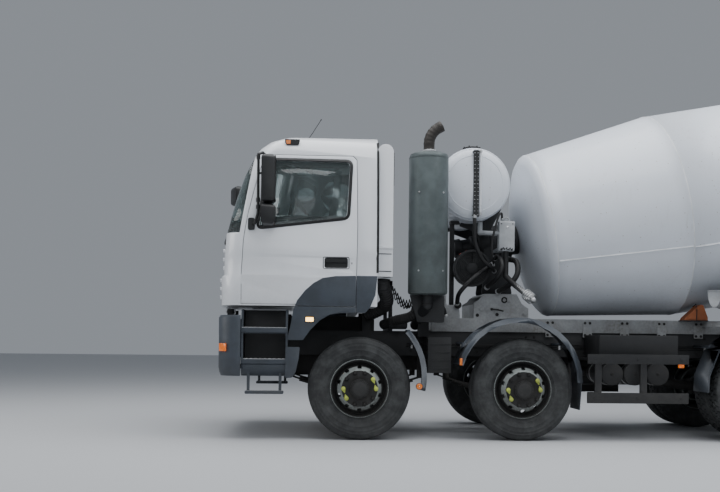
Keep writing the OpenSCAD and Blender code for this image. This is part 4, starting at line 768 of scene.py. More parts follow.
def add_tread(piece, place, kind):
    ribs, count, gap, slant = TREADS[kind]
    step = 2 * math.pi / count
    for band, (near, far) in enumerate(ribs):
        lean = slant if band % 2 else -slant
        middle_rib = kind == "steered" and abs(near + far) <= SHOULDER
        open_gap = SIPE if middle_rib else gap
        for k in range(count):
            corners = []
            for depth in (TREAD_DEPTH, 0.0):
                for across, shift in ((near, 0), (far, lean)):
                    radius = crown(across) - depth
                    for share in (open_gap / 2, 1 - open_gap / 2):
                        turn = step * (k + 0.5 * (band % 2) + share + shift * 0.5)
                        around = (radius * math.cos(turn), radius * math.sin(turn), across)
                        corners.append(place @ Vector(around))
            a, b, c, d, e, f, g, h = piece.points(corners)
            for quad in ((e, f, h, g), (a, b, f, e), (c, d, h, g), (a, c, g, e), (b, d, h, f)):
                piece.face(quad)


tyre_places = {}
for axle in AXLE:
    low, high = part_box(f"tyre_{axle}_left")
    twins = high.y - low.y > TWINS_WIDER
    tyre_places[axle] = [low.y + HALF_WIDTH, high.y - HALF_WIDTH] if twins else [(low.y + high.y) / 2]
for side in SIDES:
    for axle, places in tyre_places.items():
        piece = Piece(f"dressed_tyre_{axle}_{side}", f"wheel_{axle}_{side}", "tyre_rubber")
        for across in places:
            place = toward((AXLE[axle], across, WHEEL_Z), OUTWARD)
            piece.turned(SECTION, place, 96)
            add_tread(piece, place, kind_of(axle))
        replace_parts(piece.done(angle=40, weld=1e-6), f"tyre_{axle}_{side}")
print("tyre places", {axle: [round(y, 3) for y in places] for axle, places in tyre_places.items()})


# %% [markdown]
# On the real wheel the barrel is black with brake dust and lies in deep shade, so its black here is
# both its dirt and painted shade; the disc is grey paint, and the hub is bare iron. The nuts of the front
# wheels carry four bright plastic pointers: when two that should face each other don't, a nut has turned.

# %% Rims, nuts and pointers
BARREL_R, HOLES_R, HUB_R = 0.2955, 0.226, 0.193
# kind: face of the disc, then the y of nuts, disc ring and hub cap, and the cap with its bolts
HUBS = {
    "steered": (1.202, 1.2285, 1.1992, 1.2395,
                [(0.0, 0.006), (0.05, 0.005), (0.066, 0.001), (0.0835, -0.002), (0.0845, -0.012)],
                circle(0.093, 8, 0.2), -0.013,
                [(0.0, 0.006), (0.0055, 0.006), (0.0065, 0.0), (0.0065, -0.006)]),
    "driven": (0.924, 0.948, 0.9192, 1.097,
               [(0.0, 0.002), (0.06, 0.002), (0.078, -0.002), (0.0905, -0.004), (0.0905, -0.020)],
               circle(0.097, 10), -0.037,
               [(0.0, 0.009), (0.0065, 0.009), (0.0075, 0.0), (0.0075, -0.004)]),
}
NUT_RING = circle(0.1675, 10)
DISC_RING = [(0.098, 0.0), (0.100, 0.003), (0.131, 0.003), (0.1335, 0.0)]
NUT_END = [(0.0, 0.014), (0.009, 0.014), (0.0105, 0.012), (0.0105, 0.0)]
NUT_FLANGE = [(0.0185, 0.0), (0.0225, -0.016), (0.0235, -0.0255)]
POINTER_CAP = [(0.0, 0.020), (0.011, 0.019), (0.019, 0.014), (0.022, 0.004), (0.023, 0.0)]
POINTER_TAIL = [(-0.020, -0.010), (0.0, -0.018), (0.020, -0.010), (0.007, -0.036), (0.0, -0.047),
                (-0.007, -0.036)]
POINTERS = {0: 1, 1: 0, 5: 6, 6: 5}


def rim_finish(axle):
    def choose(place, normal):
        reach = math.hypot(place.x - AXLE[axle], place.z - WHEEL_Z)
        proud = abs(place.y) > HUBS[kind_of(axle)][0]
        # The barrel's black is partly brake dust and partly painted shade inside the tyre.
        dark = HOLES_R < reach <= BARREL_R or proud and reach < HUB_R
        return "wheel_dark" if dark else None
    return choose


def add_pointer(piece, place, aim):
    """A plastic cap on a nut with a pointed tail along aim, towards the nut beside it."""
    outward = Vector(OUTWARD)
    seat = Matrix(((-aim).cross(outward), -aim, outward)).transposed().to_4x4()
    seat.translation = place
    piece.turned(POINTER_CAP, seat, 20).prism(POINTER_TAIL, seat, 0.006)


for side in SIDES:
    for axle in AXLE:
        repaint(f"rim_{axle}_{side}", rim_finish(axle))
        face_y, nut_y, disc_y, hub_y, cap, bolt_ring, bolt_y, bolt = HUBS[kind_of(axle)]
        nuts = [Vector((AXLE[axle] + x, nut_y, WHEEL_Z - z)) for x, z in NUT_RING]
        hub = Vector((AXLE[axle], hub_y, WHEEL_Z))
        hardware = Piece(f"wheel_nuts_{axle}_{side}", f"wheel_{axle}_{side}", "cast_iron")
        hardware.turned(DISC_RING, (AXLE[axle], disc_y, WHEEL_Z), 48, OUTWARD)
        hardware.studs(NUT_END, nuts, 14).studs(NUT_FLANGE, nuts, 18)
        hardware.use("frame_paint").turned(cap, hub, 36, OUTWARD)
        hardware.studs(bolt, [hub + Vector((x, bolt_y, z)) for x, z in bolt_ring], 6)
        if axle in STEERED:
            hardware.use("pointer_plastic")
            for nut, partner in POINTERS.items():
                aim = (nuts[partner] - nuts[nut]).normalized()
                add_pointer(hardware, nuts[nut] + Vector((0, 0.004, 0)), aim)
        hardware.done()
print("wheel hardware on", len(AXLE) * len(SIDES), "wheels")


# %% [markdown]
# Seals, wipers and trims follow the panel that they sit on. `on_skin` finds that surface: it sends a
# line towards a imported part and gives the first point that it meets, so a seal drawn as a flat
# outline lands on the curved door.

# %% Points on a packed surface
SKINS = {}
OUTSIDE, AHEAD = 1.6, 2.0


def on_skin(name, start, direction, lift=0.0):
    """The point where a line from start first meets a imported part, lifted back by a distance."""
    if name not in SKINS:
        data = nodes[name].data
        SKINS[name] = BVHTree.FromPolygons([v.co for v in data.vertices],
                                           [p.vertices for p in data.polygons])
    return SKINS[name].ray_cast(start, Vector(direction))[0] - Vector(direction) * lift


def on_side(name, forward, up):
    """The point of a left-hand surface at a distance forward and a height."""
    return on_skin(name, spot(forward, OUTSIDE, up), (0, -1, 0))


def on_front(name, left, up, lift=0.0):
    return on_skin(name, spot(AHEAD, left, up), BACK, lift)


def round_outline(corners, radius, steps=5):
    """A closed outline with its corners rounded."""
    points = []
    for k, corner in enumerate(corners):
        corner = Vector(corner)
        before = (Vector(corners[k - 1]) - corner).normalized()
        after = (Vector(corners[(k + 1) % len(corners)]) - corner).normalized()
        for i in range(steps + 1):
            t = i / steps
            points.append(corner + before * radius * (1 - t) ** 2 + after * radius * t ** 2)
    return points


def rounded(x0, y0, x1, y1, radius, steps=5):
    """A rounded rectangle between two corners."""
    return round_outline([(x0, y0), (x1, y0), (x1, y1), (x0, y1)], radius, steps)


def dense(points, step=0.06, closed=True):
    result = []
    for one, two in zip(points, points[1:] + points[:1] if closed else points[1:]):
        parts = max(1, round((two - one).length / step))
        result += [one.lerp(two, i / parts) for i in range(parts)]
    return result if closed else result + [points[-1]]


def door_path(outline):
    """An outline of (forward, up) points laid on the left door."""
    return [on_side("door_left", *point) for point in dense(outline)]


print("first point of the door", [round(v, 3) for v in on_side("door_left", 0.6, 1.9)])


# %% [markdown]
# The door window sits in a black rubber seal, and the handle's recess has a rim. Mirror glass sits in
# its own rubber. Both doors are the same, mirrored.

# %% Door seals, handle rim and mirror glass
WINDOW = [(1.048, 2.172), (0.150, 2.285), (0.118, 2.860), (0.925, 2.865)]
HANDLE = [(0.128, 1.7615), (0.382, 1.7615), (0.382, 1.8735), (0.128, 1.8735)]
SEAL = [(-0.010, -0.016), (0.003, -0.015), (0.004, 0.0), (0.003, 0.013), (-0.010, 0.015)]
RIM = [(-0.002, -0.004), (0.0025, -0.003), (0.0025, 0.003), (-0.002, 0.004)]
LOCK = [(0, 0.003), (0.009, 0.003), (0.011, 0.0), (0.011, -0.004)]
MIRRORS = [(2.196, 2.369), (2.416, 2.864)]
MIRROR_FACE = Matrix(((0, 0, -1, FRONT_X + 0.8805), (1, 0, 0, 0), (0, 1, 0, 0), (0, 0, 0, 1)))


def grown(corners, amount):
    centre = sum((Vector(c) for c in corners), Vector((0, 0))) / len(corners)
    return [Vector(c) + (Vector(c) - centre).normalized() * amount for c in corners]


for side in SIDES:
    trim = Piece(f"door_trim_{side}", f"door_{side}", "rubber")
    trim.bar(door_path(round_outline(grown(WINDOW, 0.020), 0.06)), SEAL, closed=True)
    trim.use("dark_plastic")
    foot = on_side("door_left", 1.120, 2.200) - Vector((0, 0.004, 0))
    trim.prism(rounded(-0.034, -0.062, 0.034, 0.062, 0.022), foot, 0.030, OUTWARD)
    trim.bar(door_path(round_outline(grown(HANDLE, 0.005), 0.012, 3)), RIM, closed=True)
    trim.use("chrome").turned(LOCK, on_side("door_left", 0.095, 1.815), 16, OUTWARD)
    for low, high in MIRRORS:
        pane = rounded(1.270, low, 1.460, high, 0.03)
        trim.use("mirror_glass").prism(pane, MIRROR_FACE, 0.004)
        trim.use("rubber").bar([MIRROR_FACE @ Vector((*p, 0.002)) for p in pane], 0.0045, closed=True)
    trim.use("dark_plastic")
    for up in (2.36, 2.43, 2.86):
        trim.bar([spot(1.05, 1.345, up - 0.02), spot(1.05, 1.345, up + 0.02)], 0.021)
    trim.done()
print("door trims", len(SIDES))


# %% [markdown]
# Along the rear edge of the cab's side runs a black seal, and two clamps hold the intake duct's
# rubber bellows. A small marker lamp stands on each roof edge and an aerial leans back on the left.

# %% Rear seal, duct clamps, roof lamps and aerial
REAR_SEAL = [(-0.012, -0.012), (0.004, -0.012), (0.006, 0.012), (-0.012, 0.012)]
CLAMP = [(-0.002, -0.004), (0.0015, -0.003), (0.0015, 0.003), (-0.002, 0.004)]
LAMP_BODY = round_outline([(-0.085, -0.03), (0.075, -0.03), (0.06, 0.028), (-0.07, 0.028)], 0.012)
LAMP_LENS = round_outline([(0.012, -0.02), (0.062, -0.02), (0.055, 0.02), (0.014, 0.02)], 0.008)
SLAT = [(0.0, 0.0), (0.010, -0.014), (0.012, -0.012), (0.003, 0.003)]

for side in SIDES:
    seal = Piece(f"cab_seal_{side}", "cab", "rubber")
    path = [on_side("cab_shell", -0.160, 1.72 + 1.36 * k / 24) - Vector((0.006, 0, 0)) for k in range(25)]
    seal.bar(path, REAR_SEAL)
    roof = on_side("cab_shell", 0.72, 3.065)
    for finish_name, outline, out, depth in (("dark_plastic", LAMP_BODY, -0.03, 0.062),
                                             ("amber_lens", LAMP_LENS, 0.030, 0.007)):
        place = toward(roof + Vector((0, out, 0)), OUTWARD, math.pi)
        seal.use(finish_name).prism(outline, place, depth)
    seal.done(bevel=0.001)

duct = Piece("duct_clamps", "cab", "rubber")
for up in (1.745, 1.925):
    duct.bar([spot(*p, up) for p in rounded(-0.168, 0.898, -0.337, 1.122, 0.035)], CLAMP, closed=True)
duct.use("dark_plastic")
for k in range(11):
    up = 2.66 + 0.032 * k
    place = Matrix(((-1, 0, 0, FRONT_X - 0.334), (0, 0, 1, 0.925), (0, 1, 0, up), (0, 0, 0, 1)))
    duct.prism(SLAT, place, 0.17)
duct.done()

aerial = Piece("aerial", "cab", "rubber")
foot = on_skin("cab_shell", spot(0.56, 0.62, 3.6), (0, 0, -1))
aerial.turned([(0.0, 0.028), (0.009, 0.026), (0.016, 0.010), (0.024, 0.0), (0.024, -0.004)], foot, 20)
aerial.bar([foot + Vector(bend) for bend in ((0, 0, 0.02), (-0.05, 0, 0.09), (-0.14, 0, 0.235))], 0.0035)
aerial.turned([(0.0, 0.012), (0.005, 0.010), (0.006, 0.0), (0.004, -0.008)],
              foot + Vector((-0.142, 0, 0.238)), 12, (-0.5, 0, 0.86))
aerial.done()
print("seals, clamps, roof lamps and aerial")


# %% [markdown]
# Two wipers rest low on the windscreen. Each is a pressed arm, a joint and a rubber blade in a metal
# holder, and the blade follows the glass. Behind the screen a black printed band hides the glue.

# %% Wipers and screen bands
WIPERS = ((0.66, -0.10), (-0.20, -0.96))
WIPER_LOW, WIPER_HIGH = 2.150, 2.215
WIPER_RUBBER = [(-0.005, -0.011), (0.005, -0.011), (0.004, 0.006), (-0.004, 0.006)]

wipers = Piece("wipers", "cab", "dark_plastic")
for pivot_left, tip_left in WIPERS:
    blade = [on_front("windscreen", pivot_left + (tip_left - pivot_left) * (0.12 + 0.88 * k / 10),
                      WIPER_LOW + (WIPER_HIGH - WIPER_LOW) * k / 10, 0.010) for k in range(11)]
    wipers.use("rubber").bar(blade, WIPER_RUBBER)
    pivot = on_front("cab_shell", pivot_left, 2.045, -0.004)
    joint = blade[len(blade) // 2] + Vector((0.012, 0, 0))
    arm = [pivot.lerp(joint, share) + Vector((out, 0, 0))
           for share, out in ((0, 0.018), (0.25, 0.022), (0.8, 0.014), (1, 0))]
    wipers.use("dark_plastic").bar(arm, flat(0.009, 0.004, 0.006))
    wipers.turned([(0.0, 0.022), (0.012, 0.020), (0.020, 0.008), (0.022, -0.012)], pivot, 20, FORWARD)
wipers.done(bevel=0.0006)

screen = Piece("screen_band", "cab", "rubber")
for half, low, high in ((1.02, 2.135, 2.165), (0.98, 2.78, 2.885)):
    rows = [[on_front("windscreen", -half + 2 * half * k / 40, up, 0.0006) for k in range(41)]
            for up in (low, high)]
    screen.sheet(rows, FORWARD, 0.0012)
screen.done()
print("wipers", len(WIPERS), "and points along the screen", len(rows[0]))


# %% [markdown]
# Thin bars close the openings of the bumper, the number plate sits on a plastic holder, and
# bright bowls sit behind the glass of the lamps. A rubber ring lines each towing eye.

# %% Front trims
BOWL = [(0.0, -0.006), (0.030, -0.004), (0.052, 0.001), (0.060, 0.0045), (0.066, 0.0045), (0.069, 0.0)]
FOG_BOWL = [(0.0, -0.004), (0.020, -0.002), (0.030, 0.002), (0.035, 0.0)]
EYE_RING = [(0.034, 0.0), (0.034, 0.016), (0.024, 0.018), (0.022, 0.004), (0.0, 0.003)]
FRONT_FACE = Matrix(((0, 0, 1, FRONT_X + 1.499), (1, 0, 0, 0), (0, 1, 0, 0), (0, 0, 0, 1)))

front = Piece("front_trims", "chassis", "dark_plastic")
for low, high in ((0.765, 0.800), (0.830, 0.880), (1.130, 1.200)):
    for k in range(29):
        left = -0.546 + 0.039 * k
        front.box(spot(1.452, left - 0.003, low - 0.002), spot(1.462, left + 0.003, high + 0.002))
    level = (low + high) / 2
    front.box(spot(1.450, -0.556, level - 0.003), spot(1.458, 0.556, level + 0.003))
front.prism(rounded(-0.27, 0.945, 0.27, 1.075, 0.014), FRONT_FACE, 0.005)
front.use("aluminium").prism(rounded(-0.26, 0.955, 0.26, 1.065, 0.012), FRONT_FACE, 0.0075)
front.use("chrome")
for sign in (1, -1):
    aim = (1, 0.12 * sign, 0)
    front.studs(BOWL, [on_front("lamps", sign * left, 1.010) for left in (0.845, 0.995)], 36, aim)
    front.turned(FOG_BOWL, on_front("lamps", sign * 0.975, 0.765), 28, aim)
front.use("rubber").studs(EYE_RING, [spot(1.478, sign * 0.42, 0.715) for sign in (1, -1)], 28, FORWARD)
front.done(bevel=0.0008)
print("front trims done")


# %% [markdown]
# Boots need grip, so the step treads are punched: every hole is turned up into a small sharp collar,
# and the front edge is folded down. Use has worn these edges bright. Lamps on the flare and on the
# fenders are standard screw-on units.

# %% Step treads, marker lamps and reflectors
COLLAR = [(0.012, 0.0), (0.0105, 0.004), (0.0085, 0.0045), (0.007, 0.002), (0.007, -0.003)]
LOW_COLLAR = [(0.011, 0.0), (0.0095, 0.004), (0.007, 0.0045), (0.006, 0.001)]
REFLECTOR = {
    "dark_plastic": ([(0.0, 0.003), (0.034, 0.003), (0.036, 0.0), (0.036, -0.006)], 28),
    "amber_lens": ([(0.0, 0.009), (0.020, 0.0085), (0.030, 0.006), (0.031, 0.002)], 28),
    "chrome": ([(0.0, 0.0115), (0.004, 0.0105), (0.006, 0.008)], 10),
}

for side in SIDES:
    grip = Piece(f"step_grip_{side}", "chassis", "aluminium")
    for up in (1.150, 0.830):
        grip.box(spot(0.752, 1.196, up - 0.001), spot(1.205, 1.214, up + 0.0035))
        for i in range(9):
            for j in range(3):
                grip.turned(COLLAR, spot(0.785 + 0.048 * i, 1.165 - 0.075 * j, up), 12)
    grip.box(spot(0.790, 1.176, 0.502), spot(1.165, 1.188, 0.5055))
    for i in range(8):
        grip.turned(LOW_COLLAR, spot(0.815 + 0.045 * i, 1.135, 0.5025), 12)
    grip.done(bevel=0.0004)

    markers = Piece(f"marker_lamps_{side}", "chassis", "dark_plastic")
    flare = on_side("steps", 0.52, 1.237)
    markers.prism(rounded(-0.046, -0.028, 0.046, 0.028, 0.010), flare, 0.008, OUTWARD)
    markers.use("marker_lens").prism(rounded(-0.040, -0.022, 0.040, 0.022, 0.010),
                                     flare + Vector((0, 0.0078, 0)), 0.008, OUTWARD)
    for seat in (spot(-0.612, 1.2235, 0.562), spot(-6.28, 1.2235, 0.700)):
        for finish_name, (profile, steps) in REFLECTOR.items():
            markers.use(finish_name).turned(profile, seat, steps, OUTWARD)
    markers.done(bevel=0.0008)
print("treads and markers")


# %% [markdown]
# The silencer is a rolled drum with pressed end caps. Its seams, the studs of the heat shield and the
# clamps of the pipe are what make it read as sheet metal. The water tank carries a sight tube beside a
# marked strip, so that the level can be read from the ground.

# %% Darker faces of the silencer and the pump pipe, and painted shade on the tank's saddles
SILENCER = spot(-0.715, 0.985, 0)
TANK = spot(-1.245, 0, 2.730)
HOSE_TAIL, STEP_WELL = 2.004, 1.135


def silencer_finish(place, normal):
    if place.z < 1.512 or place.y < 0.76:
        return "frame_paint"
    if place.z > 3.033:
        return "exhaust_pipe"
    on_clamp = math.hypot(place.x - SILENCER.x, place.y - SILENCER.y) > 0.055
    return "aluminium" if place.z > 2.998 and on_clamp else None


# The saddles under the tank are painted near-black. This is painted shade for the tank's shadow, which they
# lie in.
def saddle_painted_shade(place, normal):
    reach = math.hypot(place.x - TANK.x, place.z - TANK.z)
    return "frame_paint" if reach > 0.397 and place.z < 2.62 else None


def pipe_finish(place, normal):
    if place.z >= HOSE_TAIL:
        return None
    return "rubber" if place.y < 0.90 else "aluminium"


def step_finish(place, normal):
    return "dark_plastic" if abs(place.y) < STEP_WELL and place.z > 0.66 else None


for name, choose in (("silencer", silencer_finish), ("water_tank", saddle_painted_shade),
                     ("water_pipes", pipe_finish), ("steps", step_finish)):
    print("finishes on the", name, repaint(name, choose))


# %% Silencer seams, studs and pipe clamps
STUD = [(0.0, 0.008), (0.0045, 0.008), (0.0055, 0.004), (0.009, 0.0035), (0.0095, 0.0), (0.0095, -0.003)]

seams = Piece("silencer_seams", "chassis", "silencer_paint")
for up in (1.548, 1.556, 2.935, 2.943):
    seams.turned(hoop(0.2055, 0.2085, 0.003, 0.001, up), SILENCER, 56)
seams.use("aluminium")
for up in (1.757, 2.568):
    for turn in (-41, 34, 150, 215):
        out = Vector((math.sin(math.radians(turn)), math.cos(math.radians(turn)), 0))
        seams.turned(STUD, SILENCER + out * 0.207 + Vector((0, 0, up)), 12, out)
for up in (2.998, 3.022):
    seams.turned(hoop(0.0715, 0.0745, 0.006, 0.005, up), SILENCER, 36)
seams.use("cast_iron")
for up in (1.50, 1.42):
    seams.turned(hoop(0.055, 0.060, 0.009, 0.008, up), SILENCER, 30)
seams.done()

# %% Water tank fittings
TANK_END = 0.7905
DOME_R, LID_Y = 0.388, 0.52
TUBE_X, TUBE_Y = -0.052, TANK_END + 0.020
TUBE_END = [(0.0, 0.024), (0.008, 0.024), (0.008, 0.016), (0.013, 0.015), (0.014, 0.004), (0.019, 0.003),
            (0.019, -0.002)]
STRAP_BOLT = [(0.0, 0.020), (0.007, 0.019), (0.008, 0.008), (0.013, 0.007), (0.013, -0.004)]
LID = [(0.0, 0.020), (0.03, 0.019), (0.075, 0.014), (0.096, 0.006), (0.102, 0.002), (0.102, -0.010)]
LID_BOLT = [(0.0, 0.014), (0.006, 0.014), (0.007, 0.004), (0.007, 0.0)]

tank = Piece("tank_fittings", "chassis", "dark_plastic")
gauge = side_plane(-1.250, TANK_END - 0.002, TANK.z)
tank.prism(rounded(-0.033, -0.365, 0.031, 0.352, 0.006, 2), gauge, 0.006)
tank.use("clear_lens")
marks = gauge @ Matrix.Translation((0, 0, 0.0058))
for k in range(17):
    up = -0.345 + 0.0415 * k
    long = 0.011 if k % 4 else 0.018
    for start in (-0.028, 0.008):
        tank.prism([(start, up), (start + long, up), (start + long, up + 0.004), (start, up + 0.004)],
                   marks, 0.0006)
tank.bar([TANK + Vector((TUBE_X, TUBE_Y, up)) for up in (-0.335, 0.0, 0.335)], 0.0075)
tank.use("aluminium")
for up in (-0.335, 0.335):
    tank.turned(TUBE_END, TANK + Vector((TUBE_X, TANK_END - 0.001, up)), 16, OUTWARD)
    tank.bar([TANK + Vector((TUBE_X, TUBE_Y, up + rise)) for rise in (-0.016, 0.016)], 0.011)
tank.use("drum_paint")
for reach in (0.30, 0.375):
    dome = 0.700 + 0.090 * math.sqrt(1 - (reach / DOME_R) ** 2)
    tank.turned([(reach - 0.006, dome - 0.001), (reach, dome + 0.003), (reach + 0.005, dome - 0.005)],
                TANK, 64, OUTWARD)
tank.use("dark_plastic")
for up in (-0.350, 0.335):
    tank.box(TANK + Vector((-0.060, 0.715, up)), TANK + Vector((0.030, TANK_END, up + 0.010)))
tank.use("cast_iron")
for sign in (1, -1):
    for turn in (-62, 62):
        out = Vector((math.sin(math.radians(turn)), 0, math.cos(math.radians(turn))))
        tank.turned(STRAP_BOLT, TANK + out * 0.391 + Vector((0, sign * 0.368, 0)), 6, out)
lid = Vector((TANK.x, LID_Y, 3.146))
tank.turned(LID, lid, 40)
tank.studs(LID_BOLT, [lid + Vector((x, y, 0.006)) for x, y in circle(0.086, 6)], 6, None)
tank.done()
print("silencer and tank dressed")


# %% [markdown]
# Hoses join the tank, the pump and the drive. On the truck both ends of each are clamped to the
# chassis, so they are fixed pieces here: bent rubber with a fitting and a clamp at each end.

# %% Hoses with their clamps
HOSES = [
    # radius, then the points that the hose runs through
    (0.021, [(-1.235, 0.800, 2.372), (-1.236, 0.812, 2.28), (-1.245, 0.790, 2.10), (-1.330, 0.740, 1.92),
             (-1.450, 0.680, 1.83), (-1.500, 0.56, 1.80)]),
    (0.011, [(-1.560, 0.66, 2.35), (-1.545, 0.70, 2.42), (-1.500, 0.73, 2.36), (-1.440, 0.745, 2.12),
             (-1.445, 0.72, 1.95), (-1.480, 0.62, 1.86)]),
    (0.024, [(-1.480, 0.56, 1.88), (-1.36, 0.64, 1.80), (-1.22, 0.70, 1.69), (-1.10, 0.66, 1.55),
             (-1.10, 0.50, 1.44)]),
    (0.030, [(-1.650, 0.50, 1.94), (-1.720, 0.66, 1.90), (-1.715, 0.74, 1.76), (-1.63, 0.70, 1.64),
             (-1.560, 0.46, 1.58)]),
    (0.027, [(-1.520, 0.46, 1.95), (-1.530, 0.66, 1.96), (-1.545, 0.76, 1.84), (-1.50, 0.72, 1.72),
             (-1.420, 0.52, 1.62)]),
    (0.020, [(-0.62, 0.36, 1.30), (-0.64, 0.44, 1.42), (-0.80, 0.50, 1.50), (-0.93, 0.52, 1.42),
             (-0.98, 0.50, 1.30)]),
]

hoses = Piece("mixer_hoses", "chassis", "rubber")
for radius, points in HOSES:
    path = smooth_path([spot(*p) for p in points])
    hoses.use("rubber").bar(path, radius)
    clamp = [(radius * 0.8, -0.014), (radius + 0.004, -0.012), (radius + 0.004, 0.012),
             (radius + 0.0005, 0.014)]
    for near, far in ((path[0], path[1]), (path[-1], path[-2])):
        along = far - near
        hoses.use("aluminium").turned(clamp, near + along.normalized() * 0.012, 16, along)
hoses.done(angle=60)
print("hoses", len(HOSES))


# %% Ribbed pipe, intake elbow and coiled lines behind the cab
PIPES = {
    # finish: radius, distance between ribs and points
    "rubber": (0.070, 0.034, [(-0.25, 1.005, 1.670), (-0.25, 0.98, 1.58), (-0.30, 0.82, 1.46),
                              (-0.26, 0.62, 1.38), (-0.10, 0.50, 1.30)]),
    "cast_iron": (0.052, 0.022, [(-0.655, 0.80, 1.385), (-0.56, 0.80, 1.29), (-0.42, 0.70, 1.25),
                                 (-0.28, 0.52, 1.20)]),
}
COILS = ((0.28, 1.62), (0.16, 1.66), (0.04, 1.62))
COIL_POINTS, COIL_TURN, COIL_R = 150, 14, 0.028
SOCKET = [(0.0, 0.018), (0.012, 0.016), (0.015, 0.0), (0.015, -0.004)]
FILTER = [(0.0, 0.10), (0.05, 0.098), (0.062, 0.085), (0.062, -0.085), (0.05, -0.098), (0.0, -0.10)]
RACK = [((-0.395, -0.44, 1.128), (-0.355, 0.44, 1.165)), ((-0.395, 0.34, 1.13), (-0.355, 0.40, 1.68)),
        ((-0.395, -0.40, 1.13), (-0.355, -0.34, 1.68)), ((-0.395, -0.40, 1.64), (-0.355, 0.40, 1.69)),
        ((-0.47, 0.42, 1.16), (-0.41, 0.60, 1.19))]


def add_ribbed(piece, radius, pitch, points):
    """A flexible pipe whose wall runs in and out, one ring after the other."""
    path = dense(smooth_path([spot(*p) for p in points], 8), 0.01, closed=False)
    along, rings = 0.0, []
    for before, point, after in zip(path[:1] + path, path, path[1:] + path[-1:]):
        side = (after - before).cross(Vector((0, 0, 1))).normalized()
        over = side.cross(after - before).normalized()
        wide = radius * (1.0 + 0.07 * math.sin(2 * math.pi * along / pitch))
        rings.append(piece.points(point + side * u + over * v for u, v in circle(wide, 24)))
        along += (after - point).length
    for one, two in zip(rings, rings[1:]):
        piece.skin(one, two)
    piece.face(rings[0])
    piece.face(rings[-1][::-1])


behind = Piece("behind_cab", "chassis", "rubber")
for finish_name, values in PIPES.items():
    behind.use(finish_name)
    add_ribbed(behind, *values)
behind.use("rubber")
for across, up in COILS:
    coil = []
    for k in range(COIL_POINTS):
        turn = 2 * math.pi * k / COIL_TURN
        low = up - 0.20 * math.sin(math.pi * k / (COIL_POINTS - 1))
        coil.append(spot(-0.40 - 0.0024 * k, across + COIL_R * math.cos(turn), low + COIL_R * math.sin(turn)))
    behind.bar(coil, 0.0055)
behind.use("frame_paint").turned(FILTER, spot(-0.44, 0.62, 1.215), 28, FORWARD)
for low, high in RACK:
    behind.box(spot(*low), spot(*high))
behind.use("aluminium").studs(SOCKET, [spot(-0.395, across, 1.640) for across, up in COILS], 16, BACK)
behind.done(bevel=0.0015)
print("ribbed pipes", len(PIPES), "and coils", len(COILS))


# %% [markdown]
# The pump's box has a bolted lid and chipped paint, so bare patches of odd shapes are cut thin and laid
# on it. The oil cooler stands behind a round guard of wire, which is swept ring by ring.

# %% Pump box, cooler guard, lever and castings
BOX_FACE, RAIL_FACE = 0.7605, 0.425
LID_SCREW = [(0.0, 0.006), (0.006, 0.006), (0.007, 0.001), (0.007, -0.003)]
CASTING_BOLT = [(0.0, 0.012), (0.011, 0.012), (0.012, 0.003), (0.019, 0.002), (0.019, -0.004)]
CASTING_BOLTS = ((-1.385, 1.390), (-1.450, 1.385), (-1.870, 1.345), (-1.690, 1.490), (-1.340, 1.320),
                 (-1.560, 1.330))
CHIPS = 9

pump = Piece("pump_fittings", "chassis", "cast_iron")
screws = [spot(forward, BOX_FACE, up) for up in (2.03, 2.30) for forward in (-1.535, -1.658)]
pump.studs(LID_SCREW, screws, 6)
pump.use("chrome").turned([(0.0, 0.004), (0.008, 0.004), (0.013, 0.001), (0.013, -0.002)],
                          spot(-1.600, BOX_FACE, 2.262), 20, OUTWARD)
random.seed(4)
pump.use("frame_paint")
for k in range(CHIPS):
    centre = spot(-1.530 - 0.015 * k + random.uniform(-0.005, 0.005), BOX_FACE - 0.0005,
                  2.018 + random.uniform(0, 0.035))
    outline = [((0.006 + random.uniform(0, 0.009)) * x, (0.005 + random.uniform(0, 0.010)) * y)
               for x, y in circle(1, 8)]
    pump.prism(outline, centre, 0.0009, OUTWARD)

cooler = spot(-1.258, 0, 1.832)
pump.use("dark_plastic")
for reach in (0.075, 0.095, 0.115, 0.135, 0.155, 0.172):
    ring = [cooler + Vector((x, 0.5545, z)) for x, z in circle(reach, 36)]
    pump.bar(ring, flat(0.0018, 0.0018), closed=True)
for x, z in circle(1, 8):
    spoke = [cooler + Vector((x * reach, 0.5525, z * reach)) for reach in (0.055, 0.186)]
    pump.bar(spoke, flat(0.004, 0.0015))
# Five small red knobs on the upper rim of the cooler. Their red is partly the cooler's own dark red and
# partly painted glints, where light catches the top of the rim.
pump.use("cooler_red_and_glint")
for turn in (52, 74, 96, 118, 140):
    out = Vector((math.cos(math.radians(turn)), 0, math.sin(math.radians(turn))))
    pump.turned([(0.0, 0.010), (0.012, 0.009), (0.015, 0.004), (0.015, -0.004)],
                cooler + out * 0.199 + Vector((0, 0.470, 0)), 16, out)
bolts = [spot(forward, RAIL_FACE, up) for forward, up in CASTING_BOLTS]
pump.use("cast_iron").studs(CASTING_BOLT, bolts, 14)
for profile, place, steps in (
        ([(0.020, -0.002), (0.020, 0.008), (0.030, 0.010), (0.034, 0.004), (0.034, -0.002)],
         spot(-1.640, RAIL_FACE, 1.492), 28),
        ([(0.0, 0.028), (0.012, 0.026), (0.015, 0.0), (0.015, -0.002)], spot(-1.500, RAIL_FACE, 1.388), 18),
        ([(0.0, 0.007), (0.034, 0.006), (0.040, 0.002), (0.040, -0.003)], spot(-1.118, 0.452, 1.428), 28)):
    pump.turned(profile, place, steps, OUTWARD)
pump.bar([spot(-1.500, 0.445, 1.388), spot(-1.560, 0.452, 1.384), spot(-1.625, 0.462, 1.366)],
         flat(0.006, 0.008, 0.004))
coupling = toward(spot(-1.800, 0.945, 1.511), spot(-1.835, 1.000, 1.472) - spot(-1.684, 0.760, 1.643))
pump.use("aluminium")
